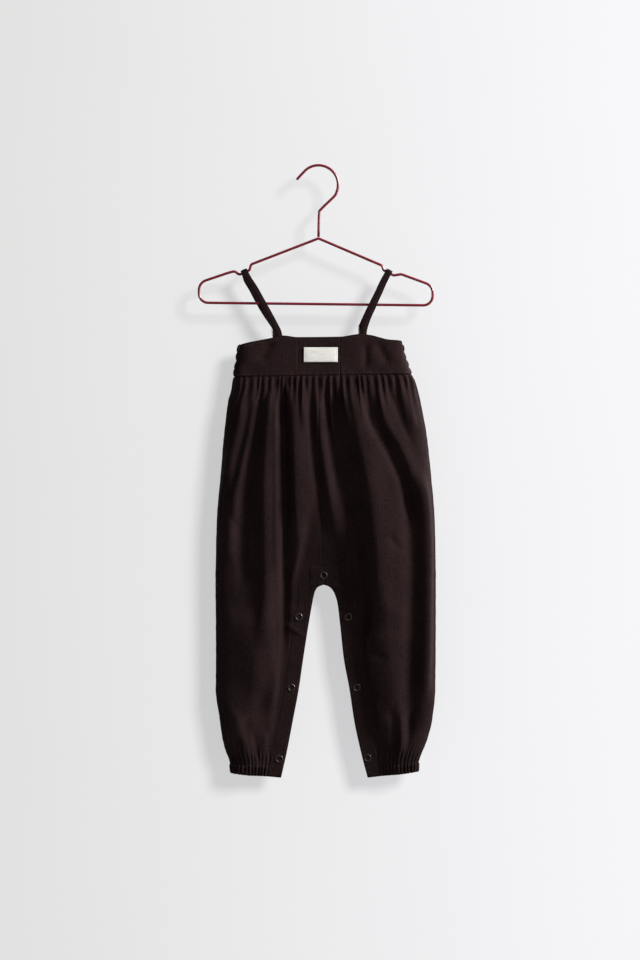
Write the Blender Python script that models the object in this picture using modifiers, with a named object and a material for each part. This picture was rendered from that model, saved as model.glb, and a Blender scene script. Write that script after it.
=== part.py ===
"""A toddler's corduroy romper on a child's wire hanger, built from the pieces that are cut and sewn.

Tables and sizes are in millimetres and every mesh is scaled to metres, +Z up. The origin is the inside
of the hanger's hook, at its top, where a rail carries it. The front faces -Y, and left and right are
as seen from the front. Each piece of cloth is a wall between an outer and an inner layer of points.
"""

import math
from typing import NamedTuple

import bmesh
import bpy
import numpy as np
from mathutils import Vector

MM = 0.001

# Cloth
CLOTH = 1.5
GAP = 0.3
LAP = CLOTH + GAP / 2
LABEL_THICKNESS = 1.0

# Levels of the garment
YOKE_TOP_Z = -219.5
YOKE_SEAM_Z = -269.6
YOKE_SEAM_TILT = 0.0147
ARMHOLE_FOOT_Z = -241.5
TILT_END_Z = -360.0
CROTCH_Z = -538.9
HEM_TOP_Z = -767.0
HEM_Z = -787.0
HEM_RISE = {-1: 6.0, 1: 8.0}
HEM_RISE_START_Z = -737.0

# Pinch at the crotch and along the snapped inner legs
PINCH_START_Z = -415.0
PINCH_FULL_Z = -512.0
LAP_SWELL = 42.0
FOLD_START = 16.0
CUFF_FLAT = 16.0

# Rounding at the sides, and how far in front of the edge each side seam lies
SIDE_WIDTH = 30.0
YOKE_SIDE_WIDTH = 15.0
SIDE_POWER = 2.2
SIDE_SEAM_IN = {-1: 5.0, 1: 6.5}
YOKE_SEAM_IN = {-1: 3.5, 1: 2.5}
SEAM_CALM = 14.0

# Yoke pieces
YOKE_CENTRE = (-27.2, 27.7)
BACK_YOKE_TOP_Z = -224.0
BACK_YOKE_DROP = 5.0
BACK_YOKE_LEVEL = (3.0, 60.0, 50.0)
ARMHOLE_SET_IN = 2.5
ARMHOLE_SET_IN_RISE = 15.0
YOKE_SHARES = (0.0, 0.04, 0.1, 0.2, 0.32, 0.44, 0.56, 0.68, 0.8, 0.9, 1.0)
YOKE_STEPS = 6
SHIRR_CHANNELS = 4
SHIRR_PUCKERS = 28
SHIRR_HEIGHT = 1.1

# Gathers: ridges on each half, points to a ridge, height
FRONT_GATHERS = 14
FRONT_GATHER_POINTS = 3
BACK_GATHERS = 15
BACK_GATHER_POINTS = 2
GATHER_HEIGHT = 1.2
GATHER_FADE = 95.0
CUFF_GATHERS = 17
CUFF_GATHER_HEIGHT = 0.8
CUFF_FADE = 42.0
INNER_SHARE = 0.45

# Straps
STRAP_WIDTH = 8.6
STRAP_THICK = 2.0
STRAP_THIN = 1.2
STRAP_LOOP_STEPS = 8

# Sliders
SLIDER_WIRE = 0.5
SLIDER_WIDTH = 11.4
SLIDER_PITCH = 5.0
SLIDER_DEPTH = 8.1

# Ring snaps
SNAP_OUTER = 5.0
SNAP_INNER = 3.2
SNAP_HIGH = 1.0
SNAP_STEPS = 12

# Hanger wire
WIRE = 1.7
HOOK_RADIUS = 25.1
HOOK_CENTRE_Z = WIRE - HOOK_RADIUS
HOOK_TIP = (-28.3, -17.0)
HOOK_ARC = (140.0, -38.0)
HOOK_STEPS = 12
NECK_BEND = (0.8, -58.0)
NECK_BEND_IN = (2.6, 3.2)
NECK_BEND_OUT = (0.0, -3.0)
APEX_Z = -92.5
BEND_STEPS = 3

# Colours
CORD_BROWN = (0.022, 0.014, 0.014)
LABEL_WHITE = (0.74, 0.74, 0.71)
SNAP_BRONZE = (0.12, 0.10, 0.09)
SLIDER_STEEL = (0.62, 0.62, 0.63)
LACQUER = (0.11, 0.022, 0.028)

FRONT = -1
BACK = 1
LEFT = -1
RIGHT = 1
SIDES = {LEFT: "left", RIGHT: "right"}


class Level(NamedTuple):
    """The garment at one height: its outline from the front, and its depth each way."""

    z: float
    left: float
    right: float
    front: float
    back: float


LEVELS = (
    Level(-215.0, -102.0, 109.0, 8.5, 9.0),
    Level(-231.0, -105.0, 110.4, 9.5, 10.0),
    Level(-245.0, -106.0, 113.5, 10.5, 11.0),
    Level(-258.0, -108.8, 116.8, 11.5, 12.0),
    Level(-270.0, -109.2, 120.3, 12.5, 13.0),
    Level(-281.0, -110.1, 124.3, 14.0, 14.0),
    Level(-302.0, -116.0, 130.2, 17.0, 16.5),
    Level(-343.0, -121.5, 139.0, 19.5, 18.5),
    Level(-395.0, -125.6, 144.8, 20.5, 19.5),
    Level(-456.0, -130.9, 149.7, 20.5, 19.5),
    Level(-539.0, -132.5, 151.0, 18.0, 18.0),
    Level(-611.0, -132.1, 150.9, 17.0, 17.0),
    Level(-673.0, -132.3, 150.3, 16.5, 16.5),
    Level(-714.0, -127.0, 146.2, 15.5, 15.5),
    Level(-735.0, -124.0, 141.0, 15.0, 15.0),
    Level(-755.0, -119.1, 134.2, 13.5, 13.5),
    Level(-766.0, -115.5, 131.0, 12.0, 12.0),
    Level(-776.0, -114.2, 129.4, 11.5, 11.5),
    Level(-790.0, -112.9, 128.8, 12.5, 12.5),
)


class InnerEdge(NamedTuple):
    """The inner ends of the left and right halves at one height: centre seam, then inner legs.

    The band is the width along them in which front and back lie flat together.
    """

    z: float
    left: float
    right: float
    band: float


INNER_EDGES = (
    InnerEdge(-215.0, 0.0, 0.0, 0.0),
    InnerEdge(-271.0, 0.0, 0.0, 0.0),
    InnerEdge(-442.0, 2.4, 2.4, 8.0),
    InnerEdge(-500.0, 4.8, 4.8, 20.0),
    InnerEdge(CROTCH_Z, 6.8, 6.8, 31.0),
    InnerEdge(-542.0, 1.5, 13.0, 26.0),
    InnerEdge(-549.2, -4.6, 20.1, 22.0),
    InnerEdge(-562.0, -7.9, 24.3, 21.5),
    InnerEdge(-590.0, -12.8, 27.8, 21.0),
    InnerEdge(-632.0, -19.4, 32.3, 21.0),
    InnerEdge(-673.0, -25.4, 39.8, 21.0),
    InnerEdge(-714.0, -33.1, 46.0, 21.0),
    InnerEdge(-755.0, -41.0, 54.9, 18.0),
    InnerEdge(-787.0, -48.2, 63.2, 16.0),
)


class Fold(NamedTuple):
    """A soft ridge, or a trough where the height is negative, along a path down the cloth.

    The two widths say how far it falls away to the left and to the right of its path.
    """

    face: int
    height: float
    left: float
    right: float
    path: tuple


FOLDS = (
    Fold(FRONT, 2.6, 8.0, 8.0, ((-77, -285), (-86, -342), (-96, -383), (-112, -445))),
    Fold(FRONT, 5.0, 15.0, 15.0, ((-59, -285), (-62, -342), (-69, -424), (-69, -507), (-79, -600))),
    Fold(FRONT, 3.6, 18.0, 14.0, ((-76, -575), (-84, -630), (-74, -672), (-68, -745))),
    Fold(FRONT, 4.6, 10.0, 11.0, ((-30, -290), (-33, -342), (-30, -424), (-25, -475), (-28, -550))),
    Fold(FRONT, 3.2, 8.0, 9.0, ((-11, -290), (-8, -342), (5, -404), (12, -486), (8, -525))),
    Fold(FRONT, 2.2, 6.0, 6.0, ((20, -285), (26, -342), (33, -385))),
    Fold(FRONT, 5.6, 14.0, 36.0, ((43, -290), (53, -362), (62, -424), (74, -527), (76, -600))),
    Fold(FRONT, 4.2, 14.0, 34.0, ((76, -575), (62, -620), (67, -672), (70, -745))),
    Fold(FRONT, 2.2, 6.0, 7.0, ((70, -285), (79, -321), (92, -365))),
    Fold(FRONT, 2.4, 7.0, 8.0, ((88, -285), (102, -321), (120, -370))),
    Fold(FRONT, -2.6, 6.0, 6.0, ((-69, -290), (-76, -375), (-92, -440))),
    Fold(FRONT, -4.0, 6.0, 7.0, ((-45, -285), (-46, -342), (-46, -424), (-44, -510), (-46, -565))),
    Fold(FRONT, -2.8, 6.0, 7.0, ((-18, -285), (-15, -342), (-9, -424), (0, -486))),
    Fold(FRONT, -3.4, 8.0, 9.0, ((30, -290), (31, -362), (33, -424), (48, -507), (58, -575))),
    Fold(FRONT, -3.0, 9.0, 9.0, ((98, -300), (108, -362), (121, -424), (126, -507), (124, -725))),
    Fold(FRONT, -1.8, 5.0, 6.0, ((44, -560), (40, -600), (43, -640))),
    Fold(FRONT, -1.2, 7.0, 7.0, ((-58, -222), (-67, -238), (-76, -256))),
    Fold(FRONT, -1.2, 5.0, 5.0, ((61, -224), (61, -245), (60, -266))),
    Fold(BACK, 3.4, 10.0, 9.0, ((-88, -290), (-92, -400), (-84, -560))),
    Fold(BACK, -3.6, 7.0, 8.0, ((-66, -290), (-62, -420), (-66, -600))),
    Fold(BACK, 4.4, 12.0, 12.0, ((-38, -290), (-36, -430), (-46, -545))),
    Fold(BACK, -2.8, 7.0, 8.0, ((-12, -290), (-14, -380), (-6, -470))),
    Fold(BACK, 3.4, 9.0, 10.0, ((18, -290), (18, -400), (28, -500))),
    Fold(BACK, -4.0, 9.0, 9.0, ((48, -290), (54, -430), (62, -590))),
    Fold(BACK, 4.8, 15.0, 13.0, ((82, -290), (88, -450), (92, -710))),
    Fold(BACK, -3.0, 8.0, 8.0, ((112, -290), (120, -400), (118, -560))),
    Fold(BACK, 3.2, 12.0, 13.0, ((-76, -585), (-86, -660), (-80, -745))),
    Fold(BACK, -2.8, 8.0, 8.0, ((-100, -540), (-108, -640), (-104, -735))),
)

# Row heights of the leg panels, from the yoke seam to the hem, with the fine rows at both ends
TOP_ROWS = (-276.0, -286.0)
MIDDLE_ROWS = (
    -298.0, -322.0, -352.0, -385.0, -418.0, -452.0, -486.0, -515.0, CROTCH_Z,
    -549.2, -562.0, -590.0, -625.0, -660.0, -695.0, -732.0,
)
CUFF_ROWS = (-752.0, HEM_TOP_Z, -777.0, HEM_Z)

# Front yoke's top edge: x, z
YOKE_TOP = (
    (-106.0, -231.5), (-99.4, -229.0), (-57.6, -220.4), (-46.0, -217.9), (-26.5, -220.0),
    (27.0, -219.5), (52.7, -216.2), (63.5, -216.8), (89.9, -223.0), (106.9, -224.5), (110.0, -228.0),
)

LABEL_LEFT_X = -18.9
LABEL_RIGHT_X = 24.6
LABEL_TOP_Z = -233.4
LABEL_BOTTOM_Z = -252.4


class StrapRoute(NamedTuple):
    """Where one strap runs: the wire it hangs on, its lean there, and its stations on each face."""

    side: int
    wire: tuple
    lean: float
    front: tuple
    back: tuple
    slider: tuple


# Stations are x, z, distance from the middle plane, going down from the wire
STRAPS = (
    StrapRoute(
        LEFT,
        (-95.0, -136.2),
        0.45,
        ((-89.6, -146.0, 3.9), (-82.4, -157.0, 4.8), (-74.3, -171.5, 5.3), (-65.6, -187.0, 5.6),
         (-57.4, -203.0, 5.4), (-53.4, -212.5, 5.0), (-52.0, -221.0, 5.5), (-52.0, -234.0, 6.1)),
        ((-92.2, -146.0, 3.9), (-85.6, -157.0, 4.8), (-78.0, -171.5, 5.3), (-69.0, -187.0, 5.6)),
        (-55.0, -212.6),
    ),
    StrapRoute(
        RIGHT,
        (90.0, -136.5),
        -0.5,
        ((83.6, -149.0, 3.9), (78.2, -161.5, 4.8), (73.4, -171.8, 5.3), (69.0, -182.1, 5.5),
         (64.3, -192.4, 5.5), (60.4, -202.7, 5.3), (58.0, -212.0, 5.2), (57.8, -220.0, 5.5),
         (57.8, -233.0, 6.1)),
        ((83.0, -149.0, 3.9), (77.2, -161.5, 4.8), (71.4, -173.0, 5.3), (64.5, -187.0, 5.6)),
        (56.4, -209.8),
    ),
)


class Bend(NamedTuple):
    """A corner of the hanger's wire and the radius it is bent to."""

    x: float
    z: float
    radius: float


FRAME_BENDS = (
    Bend(0.0, APEX_Z, 3.0),
    Bend(-86.8, -126.0, 4.0),
    Bend(-88.9, -133.4, 3.0),
    Bend(-102.0, -139.4, 4.0),
    Bend(-108.0, -134.6, 6.0),
    Bend(-118.0, -137.4, 8.0),
    Bend(-154.0, -149.6, 13.0),
    Bend(-154.0, -175.3, 12.0),
    Bend(147.0, -178.8, 12.0),
    Bend(147.0, -153.4, 13.0),
    Bend(106.6, -138.6, 8.0),
    Bend(96.9, -140.2, 4.0),
    Bend(83.9, -133.4, 3.0),
    Bend(81.8, -127.4, 4.0),
)


class Snap(NamedTuple):
    """A ring snap's name and place on the front."""

    name: str
    x: float
    z: float


SNAPS = (
    Snap("crotch", 6.8, -526.5),
    Snap("left_1", -25.4, -579.8),
    Snap("left_2", -35.0, -670.9),
    Snap("left_3", -50.6, -762.8),
    Snap("right_1", 38.4, -580.0),
    Snap("right_2", 49.6, -670.9),
    Snap("right_3", 63.0, -761.3),
)


def ease(value):
    """A smooth rise from 0 at 0 to 1 at 1."""
    value = min(max(value, 0.0), 1.0)
    return value * value * (3 - 2 * value)


def table_value(table, z, column):
    """The value of a named column at height z, straight between the table's rows."""
    heights = [-row.z for row in table]
    return float(np.interp(-z, heights, [getattr(row, column) for row in table]))


def fold_height(face, x, z):
    """How far the folds of one face lift the cloth at a place, or sink it."""
    total = 0.0
    for fold in FOLDS:
        top, foot = fold.path[0][1], fold.path[-1][1]
        if fold.face != face or not foot < z < top:
            continue
        middle = np.interp(-z, [-point[1] for point in fold.path], [point[0] for point in fold.path])
        ends = ease((top - z) / (top - foot) * 4) * ease((z - foot) / (top - foot) * 4)
        width = fold.left if x < middle else fold.right
        total += fold.height * ends * math.exp(-(((x - middle) / width) ** 2))
    return total


class HalfRing:
    """Half of the garment's section at one height.

    It runs from the back's inner end round the side to the front's inner end. Above the crotch the
    inner ends are the centre seams, and below it the snapped edges of the leg.
    """

    def __init__(self, side, z):
        self.side = side
        self.z = z
        self.edge = table_value(LEVELS, z, SIDES[side])
        self.inner = table_value(INNER_EDGES, z, SIDES[side])
        self.band = table_value(INNER_EDGES, z, "band")
        span = abs(self.inner - self.edge)
        rounding = SIDE_WIDTH if z < YOKE_SEAM_Z else YOKE_SIDE_WIDTH
        turn = np.linspace(0.0, math.pi / 2, 25)
        away = np.concatenate([rounding * (1 - np.cos(turn)), np.linspace(rounding, span, 61)[1:]])
        front = [self.depth("front", along, span, rounding) for along in away]
        back = [self.depth("back", along, span, rounding) for along in away]
        xs = self.edge - side * away
        self.points = np.concatenate([
            np.stack([xs[::-1], back[::-1]], axis=1),
            np.stack([xs[1:], -np.array(front[1:])], axis=1),
        ])
        steps = np.linalg.norm(np.diff(self.points, axis=0), axis=1)
        self.arcs = np.concatenate([[0.0], np.cumsum(steps)])
        tangents = np.gradient(self.points, self.arcs, axis=0)
        self.outward = -side * np.stack([tangents[:, 1], -tangents[:, 0]], axis=1)
        self.outward /= np.linalg.norm(self.outward, axis=1, keepdims=True)
        self.length = float(self.arcs[-1])
        seam_in = SIDE_SEAM_IN[side] if z < YOKE_SEAM_Z - 1 else YOKE_SEAM_IN[side]
        self.side_seam = float(self.arcs[len(away) - 1]) + seam_in

    def depth(self, column, along, span, rounding):
        """Depth of one face at a distance from the outer edge."""
        full = table_value(LEVELS, self.z, column)
        pinch = ease((PINCH_START_Z - self.z) / (PINCH_START_Z - PINCH_FULL_Z))
        inner = LAP * pinch + full * (1 - pinch)
        swell = min(LAP_SWELL, 0.45 * span)
        level = inner + (full - inner) * ease((span - along - self.band) / swell)
        near = max(1 - along / rounding, 0.0)
        return level * (1 - near**SIDE_POWER) ** (1 / SIDE_POWER)

    def at(self, arc):
        """The point and the outward direction at a distance along the ring."""
        point = [np.interp(arc, self.arcs, self.points[:, axis]) for axis in (0, 1)]
        outward = [np.interp(arc, self.arcs, self.outward[:, axis]) for axis in (0, 1)]
        return np.array(point), np.array(outward)

    def arc_at_front(self, x):
        """The distance along the ring at which the front reaches x."""
        start = int(np.argmax(self.side * self.points[:, 0]))
        xs = self.side * -self.points[start:, 0]
        return float(np.interp(self.side * -x, xs, self.arcs[start:]))

    def cloth(self, arc, z, wave=0.0, inner_wave=None, lift=0.0, thick=CLOTH):
        """Outer and inner point of a cloth wall on this ring, with its folds and a local wave."""
        point, outward = self.at(arc)
        face = BACK if arc < self.side_seam else FRONT
        calm = ease(abs(arc - self.side_seam) / SEAM_CALM)
        if self.z < PINCH_START_Z:
            pinch = ease((PINCH_START_Z - self.z) / (PINCH_START_Z - PINCH_FULL_Z))
            from_inner = min(arc, self.length - arc)
            calm *= 1 - pinch * (1 - ease((from_inner - self.band) / FOLD_START))
        base = fold_height(face, point[0], z) * calm + lift
        inside = wave * INNER_SHARE if inner_wave is None else inner_wave
        outer = point + outward * (base + wave)
        inner = point + outward * (base + inside - thick)
        return Vector((*outer, z)), Vector((*inner, z))


def seam_z(x):
    """Height of the yoke seam, which rises a little to the right."""
    return YOKE_SEAM_Z + YOKE_SEAM_TILT * x


def yoke_top_z(x):
    """Height of the front yoke's top edge."""
    return float(np.interp(x, [point[0] for point in YOKE_TOP], [point[1] for point in YOKE_TOP]))


def material(name, colour, roughness, metallic=0.0):
    """A plain finish in the real piece's colour."""
    made = bpy.data.materials.new(name)
    made.use_nodes = True
    shader = made.node_tree.nodes["Principled BSDF"]
    shader.inputs["Base Color"].default_value = (*colour, 1.0)
    shader.inputs["Roughness"].default_value = roughness
    shader.inputs["Metallic"].default_value = metallic
    return made


def add_object(name, data, finish, collection):
    """Links a named object that carries one finish."""
    made = bpy.data.objects.new(name, data)
    if finish is not None and not data.materials:
        data.materials.append(finish)
    collection.objects.link(made)
    return made


def bridge(bm, upper, lower):
    """Faces between two rows of vertices, of like counts or one twice as fine as the other."""
    wide, narrow = len(upper) - 1, len(lower) - 1
    for step in range(min(wide, narrow)):
        if wide == narrow:
            ring = (upper[step], upper[step + 1], lower[step + 1], lower[step])
        elif wide == 2 * narrow:
            ring = (*upper[2 * step : 2 * step + 3], lower[step + 1], lower[step])
        else:
            ring = (upper[step], upper[step + 1], *reversed(lower[2 * step : 2 * step + 3]))
        bm.faces.new(ring)


def wall(name, rows, finish, collection):
    """A closed cloth wall from rows of outer and inner points, with its rims closed."""
    bm = bmesh.new()
    outer = [[bm.verts.new(pair[0] * MM) for pair in row] for row in rows]
    inner = [[bm.verts.new(pair[1] * MM) for pair in row] for row in rows]
    for above, below in zip(range(len(rows) - 1), range(1, len(rows))):
        bridge(bm, outer[above], outer[below])
        bridge(bm, inner[above], inner[below])
    for layer, end in ((0, "top"), (-1, "foot")):
        bridge(bm, outer[layer], inner[layer])
    for column in (0, -1):
        bridge(bm, [row[column] for row in outer], [row[column] for row in inner])
    bmesh.ops.recalc_face_normals(bm, faces=bm.faces)
    mesh = bpy.data.meshes.new(name)
    bm.to_mesh(mesh)
    bm.free()
    return add_object(name, mesh, finish, collection)


def gather_wave(share, z, gathers, seam_share=0.35):
    """Height of the gathers below the yoke seam at a share of the panel's width."""
    fall = (YOKE_SEAM_Z - z) / GATHER_FADE
    strength = (seam_share + (1 - seam_share) * ease(fall * 9)) * (1 - ease(fall))
    uneven = 1 + 0.3 * math.sin(5.1 * share * gathers)
    return -GATHER_HEIGHT * strength * uneven * math.cos(2 * math.pi * gathers * share)


def cuff_wave(share, z, width):
    """Height of the elastic's gathers above the hem, away from the snapped inner edge."""
    strength = ease((HEM_TOP_Z + CUFF_FADE - z) / CUFF_FADE)
    strength *= ease(share * 8) * ease((1 - share) * width / CUFF_FLAT - 1)
    uneven = 1 + 0.25 * math.sin(3.7 * share * CUFF_GATHERS)
    return CUFF_GATHER_HEIGHT * strength * uneven * math.sin(2 * math.pi * CUFF_GATHERS * share)


def panel(side, face, finish, collection):
    """One half of the front or back, from the yoke seam to the leg hem."""
    gathers = FRONT_GATHERS if face == FRONT else BACK_GATHERS
    points = FRONT_GATHER_POINTS if face == FRONT else BACK_GATHER_POINTS
    fine = gathers * points
    coarse = fine // 2
    heights = [(YOKE_SEAM_Z - GAP / 2, fine)]
    heights += [(z, fine) for z in TOP_ROWS]
    heights += [(z, coarse) for z in MIDDLE_ROWS]
    heights += [(z, fine) for z in CUFF_ROWS]
    rows = []
    for height, count in heights:
        ring = HalfRing(side, height)
        if face == FRONT:
            start, end = ring.side_seam + GAP / 2, ring.length - GAP / 2
        else:
            start, end = ring.side_seam - GAP / 2, GAP / 2
        row = []
        for column in range(count + 1):
            share = column / count
            arc = start + (end - start) * share
            place = ring.at(arc)[0]
            level_out = ease((YOKE_SEAM_Z - height) / (YOKE_SEAM_Z - TILT_END_Z))
            tilt = YOKE_SEAM_TILT * place[0] * (1 - level_out)
            hem_start = ease((height - HEM_RISE_START_Z) / (HEM_Z - HEM_RISE_START_Z))
            rise = HEM_RISE[side] * (1 - share) * hem_start
            wave = gather_wave(share, height, gathers) + cuff_wave(share, height, abs(end - start))
            row.append(ring.cloth(arc, height + tilt + rise, wave))
        rows.append(row)
    where = "front" if face == FRONT else "back"
    return wall(f"{where}_{SIDES[side]}", rows, finish, collection)


def yoke_rows(columns, steps, bottom, top, relief=None):
    """Rows of a yoke piece. A column gives its half of the ring and its place for a height."""
    rows = []
    for step in range(steps + 1):
        share = step / steps
        level = YOKE_SEAM_Z + (YOKE_TOP_Z - YOKE_SEAM_Z) * share
        rings = {side: HalfRing(side, level) for side in SIDES}
        row = []
        for number, (side, place) in enumerate(columns):
            ring = rings[side]
            arc = place(ring)
            x = ring.at(arc)[0][0]
            z = bottom(x) + (top(x) - bottom(x)) * share
            wave = relief(number, share) if relief else 0.0
            row.append(ring.cloth(arc, z, wave))
        rows.append(row)
    return rows


def front_yoke(finish, collection):
    """The front yoke's three pieces, sewn side by side."""
    def foot(x):
        return seam_z(x) + GAP / 2

    for side, seam in zip(SIDES, YOKE_CENTRE):
        def place(ring, share, stop=seam + side * GAP / 2):
            set_in = ARMHOLE_SET_IN * ease((ring.z - ARMHOLE_FOOT_Z) / ARMHOLE_SET_IN_RISE)
            start = ring.side_seam + GAP / 2 + set_in
            return start + (ring.arc_at_front(stop) - start) * share

        columns = [(side, lambda ring, share=share: place(ring, share)) for share in YOKE_SHARES]
        rows = yoke_rows(columns, YOKE_STEPS, foot, yoke_top_z)
        wall(f"yoke_front_{SIDES[side]}", rows, finish, collection)
    stops = np.linspace(YOKE_CENTRE[0] + GAP / 2, YOKE_CENTRE[1] - GAP / 2, 7)
    columns = [
        (LEFT if x < 0 else RIGHT, lambda ring, x=x: ring.arc_at_front(x)) for x in stops
    ]
    rows = yoke_rows(columns, YOKE_STEPS, foot, yoke_top_z)
    wall("yoke_front_centre", rows, finish, collection)


def back_yoke(finish, collection):
    """The elasticated back yoke, with puckers in each sewn channel."""
    def place(ring, share):
        return (ring.side_seam - GAP / 2) * share

    half = SHIRR_PUCKERS
    shares = [(index - half) / half for index in range(2 * half + 1)]
    columns = [
        (LEFT if share < 0 else RIGHT, lambda ring, share=share: place(ring, abs(share)))
        for share in shares
    ]

    def relief(number, share):
        calm = ease((1 - abs(shares[number])) * 12)
        channel = 0.35 + 0.65 * abs(math.sin(math.pi * SHIRR_CHANNELS * share))
        return SHIRR_HEIGHT * calm * channel * (0.5 if number % 2 else -0.5)

    def top(x):
        middle, level, fall = BACK_YOKE_LEVEL
        return BACK_YOKE_TOP_Z - BACK_YOKE_DROP * ease((abs(x - middle) - level) / fall)

    rows = yoke_rows(columns, 2 * SHIRR_CHANNELS, lambda x: seam_z(x) + GAP / 2, top, relief)
    wall("yoke_back", rows, finish, collection)


def label(finish, collection):
    """The label on the yoke's centre, its face left bare."""
    rows = []
    for z in np.linspace(LABEL_TOP_Z, LABEL_BOTTOM_Z, 4):
        rings = {side: HalfRing(side, z) for side in SIDES}
        row = []
        for x in np.linspace(LABEL_LEFT_X, LABEL_RIGHT_X, 7):
            ring = rings[LEFT if x < 0 else RIGHT]
            lift = GAP + LABEL_THICKNESS
            row.append(ring.cloth(ring.arc_at_front(x), z, lift=lift, thick=LABEL_THICKNESS))
        rows.append(row)
    wall("label", rows, finish, collection)


def strap_stations(route):
    """Centre points of a strap, from inside the front yoke over the wire to inside the back yoke."""
    stations = [(x, -y, z, STRAP_THICK) for x, z, y in reversed(route.front)]
    reach = WIRE + GAP + STRAP_THICK / 2 + 0.2
    across = np.array([1.0, route.lean]) / math.hypot(1.0, route.lean)
    up = np.array([-across[1], across[0]])
    for step in range(STRAP_LOOP_STEPS + 1):
        turn = math.pi * step / STRAP_LOOP_STEPS
        x, z = np.array(route.wire) + up * reach * math.sin(turn)
        stations.append((x, -reach * math.cos(turn), z, STRAP_THICK))
    stations += [(x, y, z, STRAP_THICK) for x, z, y in route.back]
    x, z = route.slider
    swing = SLIDER_WIRE + GAP + STRAP_THIN / 2
    for step in range(-4, 5):
        along = step * SLIDER_PITCH / 4
        y = SLIDER_DEPTH + swing * math.cos(math.pi * step / 4)
        stations.append((x, y, z - along, STRAP_THIN))
    stations.append((x, SLIDER_DEPTH - swing, BACK_YOKE_TOP_Z - 10.0, STRAP_THIN))
    return stations


def strap(route, finish, collection):
    """A folded strap: a flat band with thin edges, swept along its stations."""
    stations = strap_stations(route)
    centres = [Vector(station[:3]) for station in stations]
    section = ((-0.5, -0.22), (-0.5, 0.22), (-0.4, 0.5), (0.4, 0.5), (0.5, 0.22), (0.5, -0.22),
               (0.4, -0.5), (-0.4, -0.5))
    lean = Vector((1.0, 0.0, route.lean)).normalized()
    bm = bmesh.new()
    rings = []
    for index, centre in enumerate(centres):
        run = (centres[min(index + 1, len(centres) - 1)] - centres[max(index - 1, 0)]).normalized()
        level = Vector((1.0, 0.0, 0.0))
        fall = ease((abs(centre.x - route.wire[0])) / 28)
        across = lean.lerp(level, fall)
        across = (across - run * across.dot(run)).normalized()
        through = run.cross(across).normalized()
        thick = stations[index][3]
        rings.append([
            bm.verts.new((centre + across * u * STRAP_WIDTH + through * v * thick) * MM)
            for u, v in section
        ])
    for upper, lower in zip(rings, rings[1:]):
        for corner in range(len(section)):
            after = (corner + 1) % len(section)
            bm.faces.new((upper[corner], upper[after], lower[after], lower[corner]))
    bm.faces.new(rings[0])
    bm.faces.new(rings[-1])
    bmesh.ops.recalc_face_normals(bm, faces=bm.faces)
    mesh = bpy.data.meshes.new(f"strap_{SIDES[route.side]}")
    bm.to_mesh(mesh)
    bm.free()
    add_object(mesh.name, mesh, finish, collection)


def wire_curve(name, points, radius, cyclic=False):
    """A round wire through the given points."""
    curve = bpy.data.curves.new(name, "CURVE")
    curve.dimensions = "3D"
    curve.bevel_depth = radius * MM
    curve.bevel_resolution = 2
    curve.use_fill_caps = not cyclic
    spline = curve.splines.new("POLY")
    spline.points.add(len(points) - 1)
    for knot, point in zip(spline.points, points):
        knot.co = (*(Vector(point) * MM), 1.0)
    spline.use_cyclic_u = cyclic
    return curve


def bent(bends):
    """Points of a closed wire whose corners are bent to their radii, in the hanger's plane."""
    points = []
    for index, bend in enumerate(bends):
        corner = Vector((bend.x, bend.z))
        before = (Vector(bends[index - 1][:2]) - corner).normalized()
        after = (Vector(bends[(index + 1) % len(bends)][:2]) - corner).normalized()
        angle = before.angle(after)
        reach = bend.radius / math.tan(angle / 2)
        centre = corner + (before + after).normalized() * bend.radius / math.sin(angle / 2)
        start = (corner + before * reach - centre).normalized()
        end = (corner + after * reach - centre).normalized()
        for step in range(BEND_STEPS + 1):
            arm = start.slerp(end, step / BEND_STEPS) * bend.radius
            points.append((centre.x + arm.x, 0.0, centre.y + arm.y))
    return points


def hanger(finish, collection):
    """The wire hanger: its closed frame, and its hook, whose neck stands on the frame's apex."""
    frame = wire_curve("hanger_frame", bent(FRAME_BENDS), WIRE, cyclic=True)
    add_object("hanger_frame", frame, finish, collection)
    start, end = (math.radians(angle) for angle in HOOK_ARC)
    hook = [(HOOK_TIP[0], 0.0, HOOK_TIP[1])]
    for step in range(HOOK_STEPS + 1):
        angle = start + (end - start) * step / HOOK_STEPS
        hook.append((HOOK_RADIUS * math.cos(angle), 0.0, HOOK_CENTRE_Z + HOOK_RADIUS * math.sin(angle)))
    for along, up in (NECK_BEND_IN, NECK_BEND_OUT):
        hook.append((NECK_BEND[0] + along, 0.0, NECK_BEND[1] + up))
    hook.append((0.0, 0.0, APEX_Z + WIRE + GAP))
    curve = wire_curve("hanger_hook", hook, WIRE)
    add_object("hanger_hook", curve, finish, collection)


def solid_from(curve, collection):
    """A closed mesh object from a curve, which is then removed."""
    source = add_object(f"{curve.name}_source", curve, None, collection)
    graph = bpy.context.evaluated_depsgraph_get()
    mesh = bpy.data.meshes.new_from_object(source.evaluated_get(graph))
    bm = bmesh.new()
    bm.from_mesh(mesh)
    bmesh.ops.remove_doubles(bm, verts=bm.verts, dist=0.00001)
    bmesh.ops.recalc_face_normals(bm, faces=bm.faces)
    bm.to_mesh(mesh)
    bm.free()
    name = curve.name
    bpy.data.objects.remove(source)
    bpy.data.curves.remove(curve)
    made = bpy.data.objects.new(name, mesh)
    collection.objects.link(made)
    return made


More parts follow.
